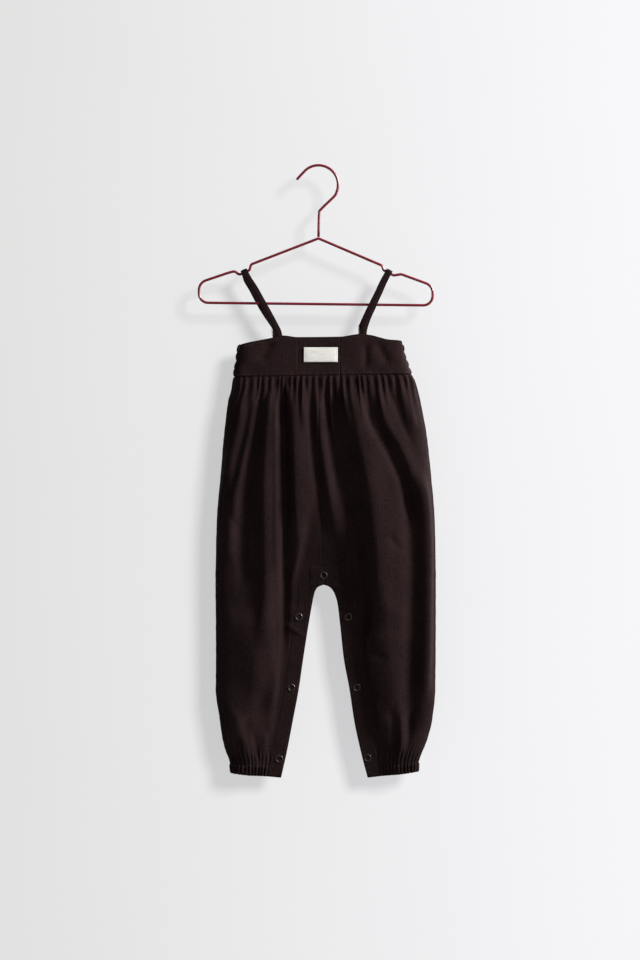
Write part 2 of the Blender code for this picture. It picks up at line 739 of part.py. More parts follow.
def slider(route, finish, collection, guides):
    """A metal slider: a wire frame with a middle bar that the strap is threaded over."""
    x, z = route.slider
    y = SLIDER_DEPTH
    wide = SLIDER_WIDTH / 2 - SLIDER_WIRE
    corners = [(x + u * wide, y, z + v * SLIDER_PITCH) for u, v in ((-1, -1), (1, -1), (1, 1), (-1, 1))]
    name = f"slider_{SIDES[route.side]}"
    frame = solid_from(wire_curve(name, corners, SLIDER_WIRE, cyclic=True), collection)
    bar = wire_curve(f"{name}_bar", [(x - wide, y, z), (x + wide, y, z)], SLIDER_WIRE * 0.9)
    bar = solid_from(bar, guides)
    bar.hide_render = True
    bar.display_type = "WIRE"
    frame.data.materials.append(finish)
    union = frame.modifiers.new("middle bar", "BOOLEAN")
    union.operation = "UNION"
    union.object = bar


def snap_mesh():
    """Profile of a ring snap, down its outer side and up its inner side."""
    middle = (SNAP_OUTER + SNAP_INNER) / 2
    profile = ((middle, SNAP_HIGH), (SNAP_OUTER, 0.0), (SNAP_INNER, 0.0))
    bm = bmesh.new()
    verts = [bm.verts.new((radius * MM, 0.0, high * MM)) for radius, high in profile]
    for index in range(len(verts)):
        bm.edges.new((verts[index], verts[(index + 1) % len(verts)]))
    mesh = bpy.data.meshes.new("snap_ring")
    bm.to_mesh(mesh)
    bm.free()
    return mesh


def snaps(finish, collection):
    """Seven ring snaps, each with a ring on the front lap and one on the back lap."""
    mesh = snap_mesh()
    mesh.materials.append(finish)
    for snap in SNAPS:
        for face, tail in ((FRONT, "front"), (BACK, "back")):
            made = bpy.data.objects.new(f"snap_{snap.name}_{tail}", mesh)
            made.location = (snap.x * MM, face * (LAP + GAP) * MM, snap.z * MM)
            made.rotation_euler = (-face * math.pi / 2, 0.0, 0.0)
            turned = made.modifiers.new("turned", "SCREW")
            turned.steps = turned.render_steps = SNAP_STEPS
            turned.use_merge_vertices = True
            turned.merge_threshold = 0.00001
            collection.objects.link(made)


def main():
    for leftover in list(bpy.data.objects):
        bpy.data.objects.remove(leftover)
    collection = bpy.data.collections.new("corduroy_romper")
    guides = bpy.data.collections.new("cutters")
    bpy.context.scene.collection.children.link(collection)
    bpy.context.scene.collection.children.link(guides)
    cord = material("needlecord", CORD_BROWN, 0.9)
    for side in SIDES:
        for face in (FRONT, BACK):
            panel(side, face, cord, collection)
    front_yoke(cord, collection)
    back_yoke(cord, collection)
    label(material("woven_label", LABEL_WHITE, 0.8), collection)
    steel = material("slider_steel", SLIDER_STEEL, 0.3, 1.0)
    for route in STRAPS:
        strap(route, cord, collection)
        slider(route, steel, collection, guides)
    snaps(material("snap_bronze", SNAP_BRONZE, 0.35, 1.0), collection)
    hanger(material("wire_lacquer", LACQUER, 0.3), collection)


main()
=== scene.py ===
"""The finished look of a toddler's needlecord romper on a child's lacquered wire hanger.

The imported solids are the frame. Each piece of cloth here lies on the form of its own solid, with the
gathers, creases, seams and stitches that the sewing gives it, and the hanger, ring snaps and strap
sliders get their lacquer and metal. Tables are in millimetres and finished meshes in metres, +Z up.
The front faces -Y, and left and right are as seen from the front.
"""

import logging
import math
from dataclasses import dataclass, field
from enum import Enum
from typing import Callable, NamedTuple, Sequence

import bmesh
import bpy
import numpy as np
from bpy.types import Material, Node, NodeSocket, NodeTree, Object
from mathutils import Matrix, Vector
from mathutils.bvhtree import BVHTree

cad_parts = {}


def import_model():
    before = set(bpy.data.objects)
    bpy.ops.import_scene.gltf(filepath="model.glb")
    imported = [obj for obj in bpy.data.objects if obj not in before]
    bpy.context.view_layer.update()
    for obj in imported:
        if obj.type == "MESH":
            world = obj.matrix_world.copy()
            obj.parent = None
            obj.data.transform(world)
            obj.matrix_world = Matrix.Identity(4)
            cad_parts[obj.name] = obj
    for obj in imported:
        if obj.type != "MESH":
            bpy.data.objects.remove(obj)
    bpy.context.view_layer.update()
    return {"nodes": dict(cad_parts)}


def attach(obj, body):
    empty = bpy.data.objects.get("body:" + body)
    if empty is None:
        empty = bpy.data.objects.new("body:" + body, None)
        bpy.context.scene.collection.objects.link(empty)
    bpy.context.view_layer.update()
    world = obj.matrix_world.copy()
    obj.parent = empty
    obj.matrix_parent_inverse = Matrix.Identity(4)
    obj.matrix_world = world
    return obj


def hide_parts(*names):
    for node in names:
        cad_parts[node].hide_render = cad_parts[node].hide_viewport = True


Array = np.ndarray
Mesh = bmesh.types.BMesh

log = logging.getLogger("romper")

MM = 0.001
ROOT = "root"

# Cloth
CLOTH = 1.5
GAP = 0.3
LAP = CLOTH + GAP / 2

# Levels of the garment
YOKE_TOP_Z = -219.5
YOKE_SEAM_Z = -269.6
YOKE_SEAM_TILT = 0.0147
ARMHOLE_FOOT_Z = -241.5
TILT_END_Z = -360.0
CROTCH_Z = -538.9
CROTCH_X = 6.8
HEM_Z = -787.0
CASING_Z = -772.5

# Pinch at the crotch and along the snapped inner legs
PINCH_START_Z = -415.0
PINCH_FULL_Z = -512.0
LAP_SWELL = 42.0
FOLD_START = 16.0

# Rounding at the sides
SIDE_WIDTH = 30.0
YOKE_SIDE_WIDTH = 15.0
SIDE_BLEND = 30.0
SIDE_POWER = 2.2
SEAM_CALM = 14.0
ROUND_POINTS = 36
FLAT_POINTS = 100
SWELL_SHARE = 0.45

YOKE_CENTRE = (-27.2, 27.7)
BACK_YOKE_TOP_Z = -224.0
BACK_YOKE_MIDDLE = 3.0
BACK_YOKE_LEVEL = 60.0
BACK_YOKE_SLOPE = 50.0
BACK_YOKE_DROP = 5.0

# Sewn lines, measured from the edge or seam that each one follows
TOP_LINE = 3.4
SEAM_LINE = 2.6
CENTRE_LINE = 1.8
HALVES_LINE = 1.9
BACK_FOOT_LINE = 2.2
BACK_TOP_LINE = 2.4
LEG_EDGE_LINE = 3.0
BAND_LINE = 19.4

# Where the garment lies on the lattices of the uneven reliefs
SHIFT_X = 300.0
SHIFT_Z = 900.0

# How far from its path a crease is worked out, in widths, and the length in which its ends fade
CREASE_REACH = 2.8
CREASE_FADE = 38.0


class Side(Enum):
    """A half of the garment, as seen from the front."""

    LEFT = -1
    RIGHT = 1


class Face(Enum):
    """The front or the back of the garment."""

    FRONT = -1
    BACK = 1


SIDE_SEAM_IN = {Side.LEFT: 5.0, Side.RIGHT: 6.5}
YOKE_SEAM_IN = {Side.LEFT: 3.5, Side.RIGHT: 2.5}
HEM_RISE = {Side.LEFT: 6.0, Side.RIGHT: 8.0}
HEM_RISE_START_Z = -737.0

# The row of stitches down a side, measured from the outline
SIDE_LINE = {Face.FRONT: 7.4, Face.BACK: 2.2}


class Level(NamedTuple):
    """The garment at one height: its outline from the front, and its depth each way."""

    z: float
    left: float
    right: float
    front: float
    back: float


LEVELS = (
    Level(-215.0, -102.0, 109.0, 8.5, 9.0),
    Level(-231.0, -105.0, 110.4, 9.5, 10.0),
    Level(-245.0, -106.0, 113.5, 10.5, 11.0),
    Level(-258.0, -108.8, 116.8, 11.5, 12.0),
    Level(-270.0, -109.2, 120.3, 12.5, 13.0),
    Level(-281.0, -110.1, 124.3, 14.0, 14.0),
    Level(-302.0, -116.0, 130.2, 17.0, 16.5),
    Level(-343.0, -121.5, 139.0, 19.5, 18.5),
    Level(-395.0, -125.6, 144.8, 20.5, 19.5),
    Level(-456.0, -130.9, 149.7, 20.5, 19.5),
    Level(-539.0, -132.5, 151.0, 18.0, 18.0),
    Level(-611.0, -132.1, 150.9, 17.0, 17.0),
    Level(-673.0, -132.3, 150.3, 16.5, 16.5),
    Level(-714.0, -127.0, 146.2, 15.5, 15.5),
    Level(-735.0, -124.0, 141.0, 15.0, 15.0),
    Level(-755.0, -119.1, 134.2, 13.5, 13.5),
    Level(-766.0, -115.5, 131.0, 12.0, 12.0),
    Level(-776.0, -114.2, 129.4, 11.5, 11.5),
    Level(-790.0, -112.9, 128.8, 12.5, 12.5),
)


class InnerEdge(NamedTuple):
    """The inner ends of both halves at one height, and the width in which front and back lie flat."""

    z: float
    left: float
    right: float
    band: float


INNER_EDGES = (
    InnerEdge(-215.0, 0.0, 0.0, 0.0),
    InnerEdge(-271.0, 0.0, 0.0, 0.0),
    InnerEdge(-442.0, 2.4, 2.4, 8.0),
    InnerEdge(-500.0, 4.8, 4.8, 20.0),
    InnerEdge(CROTCH_Z, 6.8, 6.8, 33.8),
    InnerEdge(-539.3, 4.0, 9.6, 31.1),
    InnerEdge(-540.1, 1.7, 11.9, 28.9),
    InnerEdge(-542.0, -1.3, 14.9, 26.0),
    InnerEdge(-545.0, -3.5, 17.8, 24.0),
    InnerEdge(-549.2, -5.2, 20.3, 22.0),
    InnerEdge(-562.0, -7.9, 24.3, 21.5),
    InnerEdge(-590.0, -12.8, 27.8, 21.0),
    InnerEdge(-632.0, -19.4, 32.3, 21.0),
    InnerEdge(-673.0, -25.4, 39.8, 21.0),
    InnerEdge(-714.0, -33.1, 46.0, 21.0),
    InnerEdge(-755.0, -41.0, 54.9, 18.0),
    InnerEdge(-787.0, -48.2, 63.2, 16.0),
)

# Front yoke's top edge: x, z
YOKE_TOP = (
    (-106.0, -231.5), (-99.4, -229.0), (-57.6, -220.4), (-46.0, -217.9), (-26.5, -220.0),
    (27.0, -219.5), (52.7, -216.2), (63.5, -216.8), (89.9, -223.0), (106.9, -224.5), (110.0, -228.0),
)


def ease(value: Array | float) -> Array:
    """A smooth rise from 0 at 0 to 1 at 1."""
    value = np.clip(value, 0.0, 1.0)
    return value * value * (3 - 2 * value)


def bump(distance: Array, width: float) -> Array:
    """A soft ridge of height 1 at distance 0."""
    return np.exp(-((distance / width) ** 2))


def smooth_value(stations: Sequence[float], values: Sequence[float],
                 at: Array | float) -> Array:
    """Reads a table along a smooth curve that never swings past its values.

    Args:
        stations: Rising places of the table's rows.
        values: The table's values there.
        at: Places to read.

    Returns:
        The values at those places.
    """
    xs = np.asarray(stations, float)
    ys = np.asarray(values, float)
    steps = np.diff(xs)
    secants = np.diff(ys) / steps
    product = secants[:-1] * secants[1:]
    total = secants[:-1] + secants[1:]
    inner = np.where(product > 0, 2 * product / np.where(total == 0, 1.0, total), 0.0)
    slopes = np.concatenate([[secants[0]], inner, [secants[-1]]])
    index = np.clip(np.searchsorted(xs, at, side="right") - 1, 0, len(steps) - 1)
    step = steps[index]
    t = np.clip((at - xs[index]) / step, 0.0, 1.0)
    start = ys[index] + (t * t * (3 - 2 * t)) * (ys[index + 1] - ys[index])
    return start + step * (slopes[index] * t * (1 - t) ** 2 - slopes[index + 1] * t * t * (1 - t))


def level_value(table: Sequence[NamedTuple], z: float, column: str) -> float:
    """Reads a named column of a table of heights at height z."""
    heights = [-row.z for row in table]
    return float(smooth_value(heights, [getattr(row, column) for row in table], -z))


def smooth_route(points: Sequence[tuple[float, ...]], steps: int = 6) -> Array:
    """A smooth curve through some points, each a row of coordinates.

    Args:
        points: The points that the curve passes.
        steps: New points for each stretch between two of them.

    Returns:
        An array of points along the curve.
    """
    knots = np.array(points, float)
    knots = np.vstack([2 * knots[0] - knots[1], knots, 2 * knots[-1] - knots[-2]])
    route = []
    for before, start, end, after in zip(knots, knots[1:], knots[2:], knots[3:]):
        for step in range(steps):
            t = step / steps
            route.append(0.5 * (
                2 * start
                + (end - before) * t
                + (2 * before - 5 * start + 4 * end - after) * t * t
                + (3 * start - before - 3 * end + after) * t**3
            ))
    route.append(knots[-2])
    return np.array(route)


class Unevenness:
    """Soft random relief, the same each run: a lattice of numbers joined by smooth curves."""

    LATTICE = 97

    def __init__(self, seed: int, across: float, along: float) -> None:
        """Draws the lattice.

        Args:
            seed: Seed of the random numbers.
            across: Size of a cell across the cloth.
            along: Size of a cell along the cloth.
        """
        self.lattice = np.random.default_rng(seed).uniform(-1.0, 1.0, (self.LATTICE, self.LATTICE))
        self.across = across
        self.along = along

    def at(self, u: Array | float, v: Array | float) -> Array:
        """Reads the relief.

        Args:
            u: Places across the cloth.
            v: Places along it.

        Returns:
            Heights from -1 to 1.
        """
        u = np.asarray(u, float) / self.across
        v = np.asarray(v, float) / self.along
        column = np.floor(u).astype(int)
        row = np.floor(v).astype(int)
        du = ease(u - column)
        dv = ease(v - row)
        column %= self.LATTICE
        row %= self.LATTICE
        right = (column + 1) % self.LATTICE
        above = (row + 1) % self.LATTICE
        low = self.lattice[row, column] * (1 - du) + self.lattice[row, right] * du
        high = self.lattice[above, column] * (1 - du) + self.lattice[above, right] * du
        return low * (1 - dv) + high * dv


class Crease(NamedTuple):
    """A soft ridge, or a trough where the height is negative, along a path on one face.

    The two widths say how far it falls away to the left and to the right of a path that goes down.
    A crease is smoothed out where front and back lie flat together, unless it is pressed in there.
    """

    height: float
    left: float
    right: float
    path: tuple[tuple[float, float], ...]
    pressed: bool = False

    def relief(self, x: Array, z: Array) -> Array:
        """Works out what it adds to its face.

        Args:
            x: Places across.
            z: Heights of the places.

        Returns:
            Heights in millimetres.
        """
        route = smooth_route(self.path, 4)
        total = np.zeros_like(x)
        reach = CREASE_REACH * max(self.left, self.right)
        low = route.min(axis=0) - reach
        high = route.max(axis=0) + reach
        near = (x > low[0]) & (x < high[0]) & (z > low[1]) & (z < high[1])
        if not near.any():
            return total
        px = x[near]
        pz = z[near]
        best = np.full(px.shape, np.inf)
        offset = np.zeros_like(px)
        along = np.zeros_like(px)
        runs = np.diff(route, axis=0)
        sizes = np.hypot(runs[:, 0], runs[:, 1])
        done = 0.0
        for start, run, size in zip(route, runs, sizes):
            dx = px - start[0]
            dz = pz - start[1]
            share = np.clip((dx * run[0] + dz * run[1]) / size**2, 0.0, 1.0)
            gone_x = dx - share * run[0]
            gone_z = dz - share * run[1]
            away = np.hypot(gone_x, gone_z)
            nearer = away < best
            best = np.where(nearer, away, best)
            to_right = gone_x * -run[1] + gone_z * run[0]
            offset = np.where(nearer, np.sign(to_right), offset)
            along = np.where(nearer, done + share * size, along)
            done += size
        width = np.where(offset < 0, self.left, self.right)
        fade = min(CREASE_FADE, done / 3)
        ends = ease(along / fade) * ease((done - along) / fade)
        total[near] = self.height * ends * np.exp(-((best / width) ** 2))
        return total


# A row holds a crease's height, its widths to the left and right, its path, and True where pressed
FRONT_CREASES = (
    (2.6, 7.0, 7.0, ((-93, -278), (-101, -330), (-112, -372), (-119, -425))),
    (-2.6, 5.0, 6.0, ((-85, -280), (-93, -335), (-104, -385), (-113, -430))),
    (3.6, 8.0, 8.0, ((-79, -272), (-89, -342), (-101, -395), (-111, -450), (-116, -515))),
    (-4.6, 7.0, 9.0, ((-72, -276), (-79, -342), (-90, -397), (-97, -470), (-96, -550))),
    (6.6, 10.0, 15.0, ((-62, -276), (-66, -342), (-68, -424), (-67, -520), (-69, -625))),
    (4.2, 10.0, 9.0, ((-64, -590), (-60, -640), (-58, -700), (-56, -755))),
    (1.5, 4.0, 2.2, ((-55, -290), (-54, -424), (-54, -520), (-53, -590), (-54, -660),
                     (-57, -745))),
    (-7.4, 6.5, 6.0, ((-47, -276), (-43, -342), (-41, -424), (-41, -510), (-41, -590),
                      (-41, -640))),
    (5.6, 9.0, 19.0, ((-31, -276), (-31, -342), (-29, -424), (-26, -490), (-28, -560))),
    (-3.4, 6.0, 7.0, ((-13, -276), (-8, -342), (2, -424), (9, -490))),
    (3.2, 7.0, 9.0, ((-3, -276), (2, -342), (11, -404), (20, -470), (19, -520))),
    (-5.4, 7.0, 13.0, ((11, -276), (16, -342), (27, -405), (42, -480), (51, -560),
                       (48, -615))),
    (7.6, 13.0, 24.0, ((40, -274), (50, -330), (63, -391), (74, -468), (79, -540),
                       (76, -600))),
    (6.0, 10.0, 27.0, ((78, -570), (66, -612), (68, -655), (77, -700), (83, -748))),
    (-4.4, 6.0, 8.0, ((59, -274), (71, -333), (96, -378), (113, -423), (121, -470))),
    (3.0, 6.0, 8.0, ((71, -274), (86, -325), (110, -370), (128, -415))),
    (-2.6, 5.0, 6.0, ((90, -274), (104, -320), (124, -366))),
    (-6.6, 12.0, 12.0, ((108, -395), (119, -440), (123, -500), (123, -570), (121, -640),
                        (119, -700), (112, -750))),
    (5.0, 11.0, 8.0, ((126, -385), (136, -430), (141, -490), (141, -560), (139, -640),
                      (134, -695))),
    (-2.6, 9.0, 8.0, ((36, -575), (40, -615), (50, -650), (52, -690))),
    (-2.5, 7.0, 7.0, ((-58, -222), (-67, -238), (-76, -256))),
    (-2.3, 5.0, 5.0, ((61, -224), (61, -245), (60, -266))),
    (-2.2, 6.0, 6.0, ((73, -223), (82, -240), (92, -260))),
    (1.0, 7.0, 7.0, ((-84, -226), (-88, -240), (-92, -258))),
    (2.2, 3.5, 4.0, ((-41, -270), (-40, -300), (-38, -335))),
    (2.4, 3.5, 4.5, ((-20, -270), (-19, -300), (-17, -345))),
    (2.2, 3.5, 4.0, ((13, -270), (15, -300), (19, -350))),
    (-2.2, 3.0, 3.5, ((6, -272), (9, -310), (17, -370), (28, -430))),
    (2.2, 4.0, 4.0, ((28, -270), (33, -300), (40, -345))),
    (-2.2, 3.5, 3.5, ((53, -272), (61, -310), (72, -350))),
    (1.8, 4.0, 4.0, ((104, -272), (113, -300), (127, -345))),
    (1.5, 3.4, 1.6, ((-14, -606), (-27, -600), (-38, -593), (-47, -586)), True),
    (-2.2, 4.0, 4.5, ((64, -656), (72, -673), (77, -688))),
    (-3.0, 5.0, 6.0, ((93, -690), (97, -720), (98, -762))),
    (2.4, 5.0, 6.0, ((108, -690), (107, -725), (105, -765))),
    (-2.0, 5.0, 5.0, ((119, -690), (116, -725), (112, -765))),
    (6.0, 24.0, 24.0, ((-86, -560), (-84, -600), (-76, -645), (-64, -690))),
    (-3.4, 9.0, 8.0, ((-62, -676), (-74, -696), (-90, -712), (-98, -740))),
    (1.9, 8.0, 7.0, ((-122, -690), (-112, -700), (-102, -716), (-98, -745))),
    (1.8, 4.0, 5.0, ((-99, -725), (-95, -745), (-92, -768))),
    (-2.2, 4.0, 4.0, ((-83, -722), (-80, -742), (-78, -768))),
    (2.0, 4.0, 4.0, ((-70, -722), (-69, -745), (-67, -768))),
    (-1.6, 6.0, 5.0, ((-118, -420), (-112, -450), (-98, -476))),
    (-1.8, 5.0, 5.0, ((88, -470), (98, -486), (110, -496))),
    (-1.6, 6.0, 5.0, ((62, -610), (76, -626), (92, -634))),
    (1.4, 5.0, 6.0, ((-20, -498), (-12, -512), (-4, -528))),
    (1.4, 5.0, 6.0, ((36, -496), (30, -512), (22, -530))),
)

BACK_CREASES = (
    (3.8, 10.0, 9.0, ((-88, -280), (-92, -400), (-84, -560))),
    (-4.0, 7.0, 8.0, ((-66, -280), (-62, -420), (-66, -600))),
    (5.4, 12.0, 12.0, ((-38, -280), (-36, -430), (-46, -545))),
    (-3.4, 7.0, 8.0, ((-12, -280), (-14, -380), (-6, -470))),
    (4.0, 9.0, 10.0, ((18, -280), (18, -400), (28, -500))),
    (-4.6, 9.0, 9.0, ((48, -280), (54, -430), (62, -590))),
    (5.6, 15.0, 13.0, ((82, -280), (88, -450), (92, -710))),
    (-3.4, 8.0, 8.0, ((112, -280), (120, -400), (118, -560))),
    (3.6, 12.0, 13.0, ((-76, -585), (-86, -660), (-80, -745))),
    (-3.2, 8.0, 8.0, ((-100, -540), (-108, -640), (-104, -735))),
    (2.2, 4.0, 4.5, ((-52, -272), (-50, -310), (-46, -350))),
    (2.2, 4.0, 4.5, ((2, -272), (3, -310), (-2, -345))),
    (-2.2, 4.0, 4.0, ((30, -272), (34, -310), (40, -370))),
    (2.3, 4.0, 4.0, ((64, -272), (70, -305), (78, -345))),
    (2.0, 4.0, 4.0, ((-76, -272), (-80, -305), (-86, -350))),
    (-1.8, 4.0, 5.0, ((60, -660), (66, -676), (74, -690))),
    (-2.0, 5.0, 4.0, ((-46, -590), (-58, -604), (-70, -612))),
    (1.8, 5.0, 4.0, ((60, -556), (80, -570), (104, -572))),
    (-1.6, 5.0, 4.0, ((64, -566), (82, -580), (102, -584))),
)

CREASES = {
    Face.FRONT: [Crease(*row) for row in FRONT_CREASES],
    Face.BACK: [Crease(*row) for row in BACK_CREASES],
}


def crease_relief(face: Face, x: Array, z: Array, calm: Array) -> Array:
    """Adds up the creases of one face.

    Args:
        face: The face.
        x: Places across.
        z: Heights of the places.
        calm: Share of the creases that is left there.

    Returns:
        Heights in millimetres.
    """
    total = np.zeros_like(x)
    for crease in CREASES[face]:
        total += crease.relief(x, z) * (1.0 if crease.pressed else calm)
    return total


class HalfRing:
    """Half of the garment's section at one height.

    It runs from the back's inner end round the side to the front's inner end. Above the crotch the
    inner ends are the centre seams, and below it the snapped edges of the leg.
    """

    def __init__(self, side: Side, z: float) -> None:
        """Works out the section's points.

        Args:
            side: The half of the garment.
            z: Height of the section.
        """
        self.side = side
        self.z = z
        name = side.name.lower()
        self.edge = level_value(LEVELS, z, name)
        self.inner = level_value(INNER_EDGES, z, name)
        self.band = level_value(INNER_EDGES, z, "band")
        self.pinch = float(ease((PINCH_START_Z - z) / (PINCH_START_Z - PINCH_FULL_Z)))
        below = float(ease((YOKE_SEAM_Z - z) / SIDE_BLEND))
        rounding = YOKE_SIDE_WIDTH + (SIDE_WIDTH - YOKE_SIDE_WIDTH) * below
        span = abs(self.inner - self.edge)
        turn = np.linspace(0.0, math.pi / 2, ROUND_POINTS)
        flat = np.linspace(rounding, span, FLAT_POINTS)[1:]
        away = np.concatenate([rounding * (1 - np.cos(turn)), flat])
        front = self._depths("front", away, span, rounding)
        back = self._depths("back", away, span, rounding)
        xs = self.edge - side.value * away
        self.points = np.concatenate([
            np.stack([xs[::-1], back[::-1]], axis=1),
            np.stack([xs[1:], -front[1:]], axis=1),
        ])
        steps = np.linalg.norm(np.diff(self.points, axis=0), axis=1)
        self.arcs = np.concatenate([[0.0], np.cumsum(steps)])
        tangents = np.gradient(self.points, self.arcs, axis=0)
        self.outward = -side.value * np.stack([tangents[:, 1], -tangents[:, 0]], axis=1)
        self.outward /= np.linalg.norm(self.outward, axis=1, keepdims=True)
        self.length = float(self.arcs[-1])
        seam_in = YOKE_SEAM_IN[side] + (SIDE_SEAM_IN[side] - YOKE_SEAM_IN[side]) * below
        self.side_seam = float(self.arcs[len(away) - 1]) + seam_in

    def _depths(self, column: str, away: Array, span: float, rounding: float) -> Array:
        """Works out the depth of one face.

        Args:
            column: The face's column in the table of levels.
            away: Distances from the outer edge.
            span: Distance from the outer edge to the inner one.
            rounding: Width in which the side is rounded.

        Returns:
            Depths from the middle plane.
        """
        full = level_value(LEVELS, self.z, column)
        inner = LAP * self.pinch + full * (1 - self.pinch)
        swell = min(LAP_SWELL, SWELL_SHARE * span)
        level = inner + (full - inner) * ease((span - away - self.band) / swell)
        near = np.maximum(1 - away / rounding, 0.0)
        return level * (1 - near**SIDE_POWER) ** (1 / SIDE_POWER)

    def at(self, arcs: Array) -> tuple[Array, Array]:
        """Reads the ring.

        Args:
            arcs: Distances along it.

        Returns:
            Points and outward directions there, as rows of x and y.
        """
        points = [np.interp(arcs, self.arcs, self.points[:, axis]) for axis in (0, 1)]
        outward = [np.interp(arcs, self.arcs, self.outward[:, axis]) for axis in (0, 1)]
        return np.stack(points, axis=1), np.stack(outward, axis=1)

    def arc_at_front(self, x: Array | float) -> Array:
        """Finds places on the front.

        Args:
            x: Places across.

        Returns:
            The distances along the ring at which the front reaches them.
        """
        start = int(np.argmax(self.side.value * self.points[:, 0]))
        xs = self.side.value * -self.points[start:, 0]
        return np.interp(self.side.value * -x, xs, self.arcs[start:])

    def calm(self, arcs: Array) -> Array:
        """Works out how much of the creases is left: none at the side seam or in the flat band.

        Args:
            arcs: Distances along the ring.

        Returns:
            Shares from 0 to 1.
        """
        calm = ease(np.abs(arcs - self.side_seam) / SEAM_CALM)
        from_inner = np.minimum(arcs, self.length - arcs)
        return calm * (1 - self.pinch * (1 - ease((from_inner - self.band) / FOLD_START)))


class Patch(NamedTuple):
    """A second layer sewn onto one face: a low plateau with its stitched line just inside the edge."""

    face: Face
    left: float
    right: float
    top: float
    bottom: float
    height: float
    edge: float = 1.1
    wear: float = 0.3
    wear_width: float = 3.0
    line: float = 2.2
    line_depth: float = 0.6
    line_width: float = 0.7

    def relief(self, x: Array, z: Array) -> Array:
        """Works out what it adds to its face.

        Args:
            x: Places across.
            z: Heights of the places.

        Returns:
            Heights in millimetres.
        """
        inside = np.minimum(
            np.minimum(x - self.left, self.right - x),
            np.minimum(self.top - z, z - self.bottom),
        )
        worn = self.wear * (PUCKER.at(x + SHIFT_X, 0.5) + PUCKER.at(z + SHIFT_Z, 0.5))
        edge = ease(inside / self.edge) * (1 + worn * bump(inside, self.wear_width))
        return self.height * edge - self.line_depth * bump(inside - self.line, self.line_width)


PATCHES = (
    Patch(Face.FRONT, -10.5, 24.5, -514.5, -545.0, 1.0),
    Patch(Face.FRONT, -41.0, -6.0, -565.5, -590.0, 0.6),
    Patch(Face.BACK, -10.5, 24.5, -514.5, -545.0, 1.0),
)


class Lay:
    """A piece's grid laid on the garment's form, row by row, before its relief is added."""

    def __init__(self, rows: int, columns: int) -> None:
        """Makes room for the grid.

        Args:
            rows: Number of rows of points.
            columns: Number of points in a row.
        """
        self.place = np.zeros((rows, columns, 3))
        self.outward = np.zeros((rows, columns, 2))
        self.height = np.zeros((rows, columns))
        self.calm = np.zeros((rows, columns))
        self.share = np.zeros((rows, columns))
        self.from_side = np.zeros((rows, columns))
        self.from_inner = np.zeros((rows, columns))

    @property
    def x(self) -> Array:
        """Places across."""
        return self.place[:, :, 0]

    @property
    def z(self) -> Array:
        """Heights of the places."""
        return self.place[:, :, 2]

    def fill(self, row: int, mine: Array | slice, ring: HalfRing, arcs: Array,
             face: Face) -> None:
        """Lays part of a row on a ring.

        Args:
            row: The row.
            mine: The part's columns.
            ring: The section that it lies on.
            arcs: Distances along the section.
            face: Which face of the garment the piece is on.
        """
        place, outward = ring.at(arcs)
        self.place[row, mine, :2] = place
        self.place[row, mine, 2] = ring.z
        self.outward[row, mine] = outward
        self.height[row, mine] = ring.z
        self.calm[row, mine] = ring.calm(arcs)
        self.from_side[row, mine] = np.abs(arcs - ring.side_seam)
        self.from_inner[row, mine] = ring.length - arcs if face is Face.FRONT else arcs
        whole = ring.length - ring.side_seam if face is Face.FRONT else ring.side_seam
        self.share[row, mine] = np.clip(np.abs(arcs - ring.side_seam) / whole, 0.0, 1.0)

    def raised(self, lift: Array) -> Array:
        """Adds the relief.

        Args:
            lift: How far each point moves outward.

        Returns:
            The points once they are moved.
        """
        points = self.place.copy()
        points[:, :, :2] += self.outward * lift[:, :, None]
        return points


def seam_z(x: Array | float) -> Array:
    """Height of the yoke seam, which rises a little to the right."""
    return YOKE_SEAM_Z + YOKE_SEAM_TILT * x


def yoke_top_z(x: Array | float) -> Array:
    """Height of the front yoke's top edge."""
    return smooth_value([point[0] for point in YOKE_TOP], [point[1] for point in YOKE_TOP], x)


def back_top_z(x: Array | float) -> Array:
    """Height of the back yoke's top edge."""
    beyond = np.abs(x - BACK_YOKE_MIDDLE) - BACK_YOKE_LEVEL
    return BACK_YOKE_TOP_Z - BACK_YOKE_DROP * ease(beyond / BACK_YOKE_SLOPE)


def spaced_rows(bottom: float, top: float, spacing: Callable[[float], float]) -> Array:
    """Heights from bottom to top whose spacing follows a rule.

    Args:
        bottom: Lowest height.
        top: Highest height.
        spacing: Gives the distance to the next row at a height.

    Returns:
        The heights, stretched evenly so that the last is at the top.
    """
    heights = [bottom]
    while heights[-1] < top:
        heights.append(heights[-1] + spacing(heights[-1]))
    rows = np.array(heights)
    return bottom + (rows - bottom) * (top - bottom) / (rows[-1] - bottom)


def grid_mesh(points: Array, flat: Array) -> Mesh:
    """A bmesh grid moved onto rows of points, with its cut cloth as the UV map.

    Args:
        points: Rows, columns and x, y, z in millimetres. Columns run so that up and across give the
            outward side.
        flat: Rows, columns and the place on the cut cloth, in millimetres.

    Returns:
        The open sheet in metres.
    """
    rows, columns = points.shape[0] - 1, points.shape[1] - 1
    bm = bmesh.new()
    grain = bm.loops.layers.uv.new("grain")
    bmesh.ops.create_grid(bm, x_segments=columns, y_segments=rows, size=0.5)
    across = [round((vert.co.x + 0.5) * columns) for vert in bm.verts]
    along = [round((vert.co.y + 0.5) * rows) for vert in bm.verts]
    placed = (points[along, across] * MM).tolist()
    cut = (flat[along, across] * MM).tolist()
    for vert, place in zip(bm.verts, placed):
        vert.co = place
    bm.verts.index_update()
    for cell in bm.faces:
        cell.smooth = True
        for loop in cell.loops:
            loop[grain].uv = cut[loop.vert.index]
    return bm


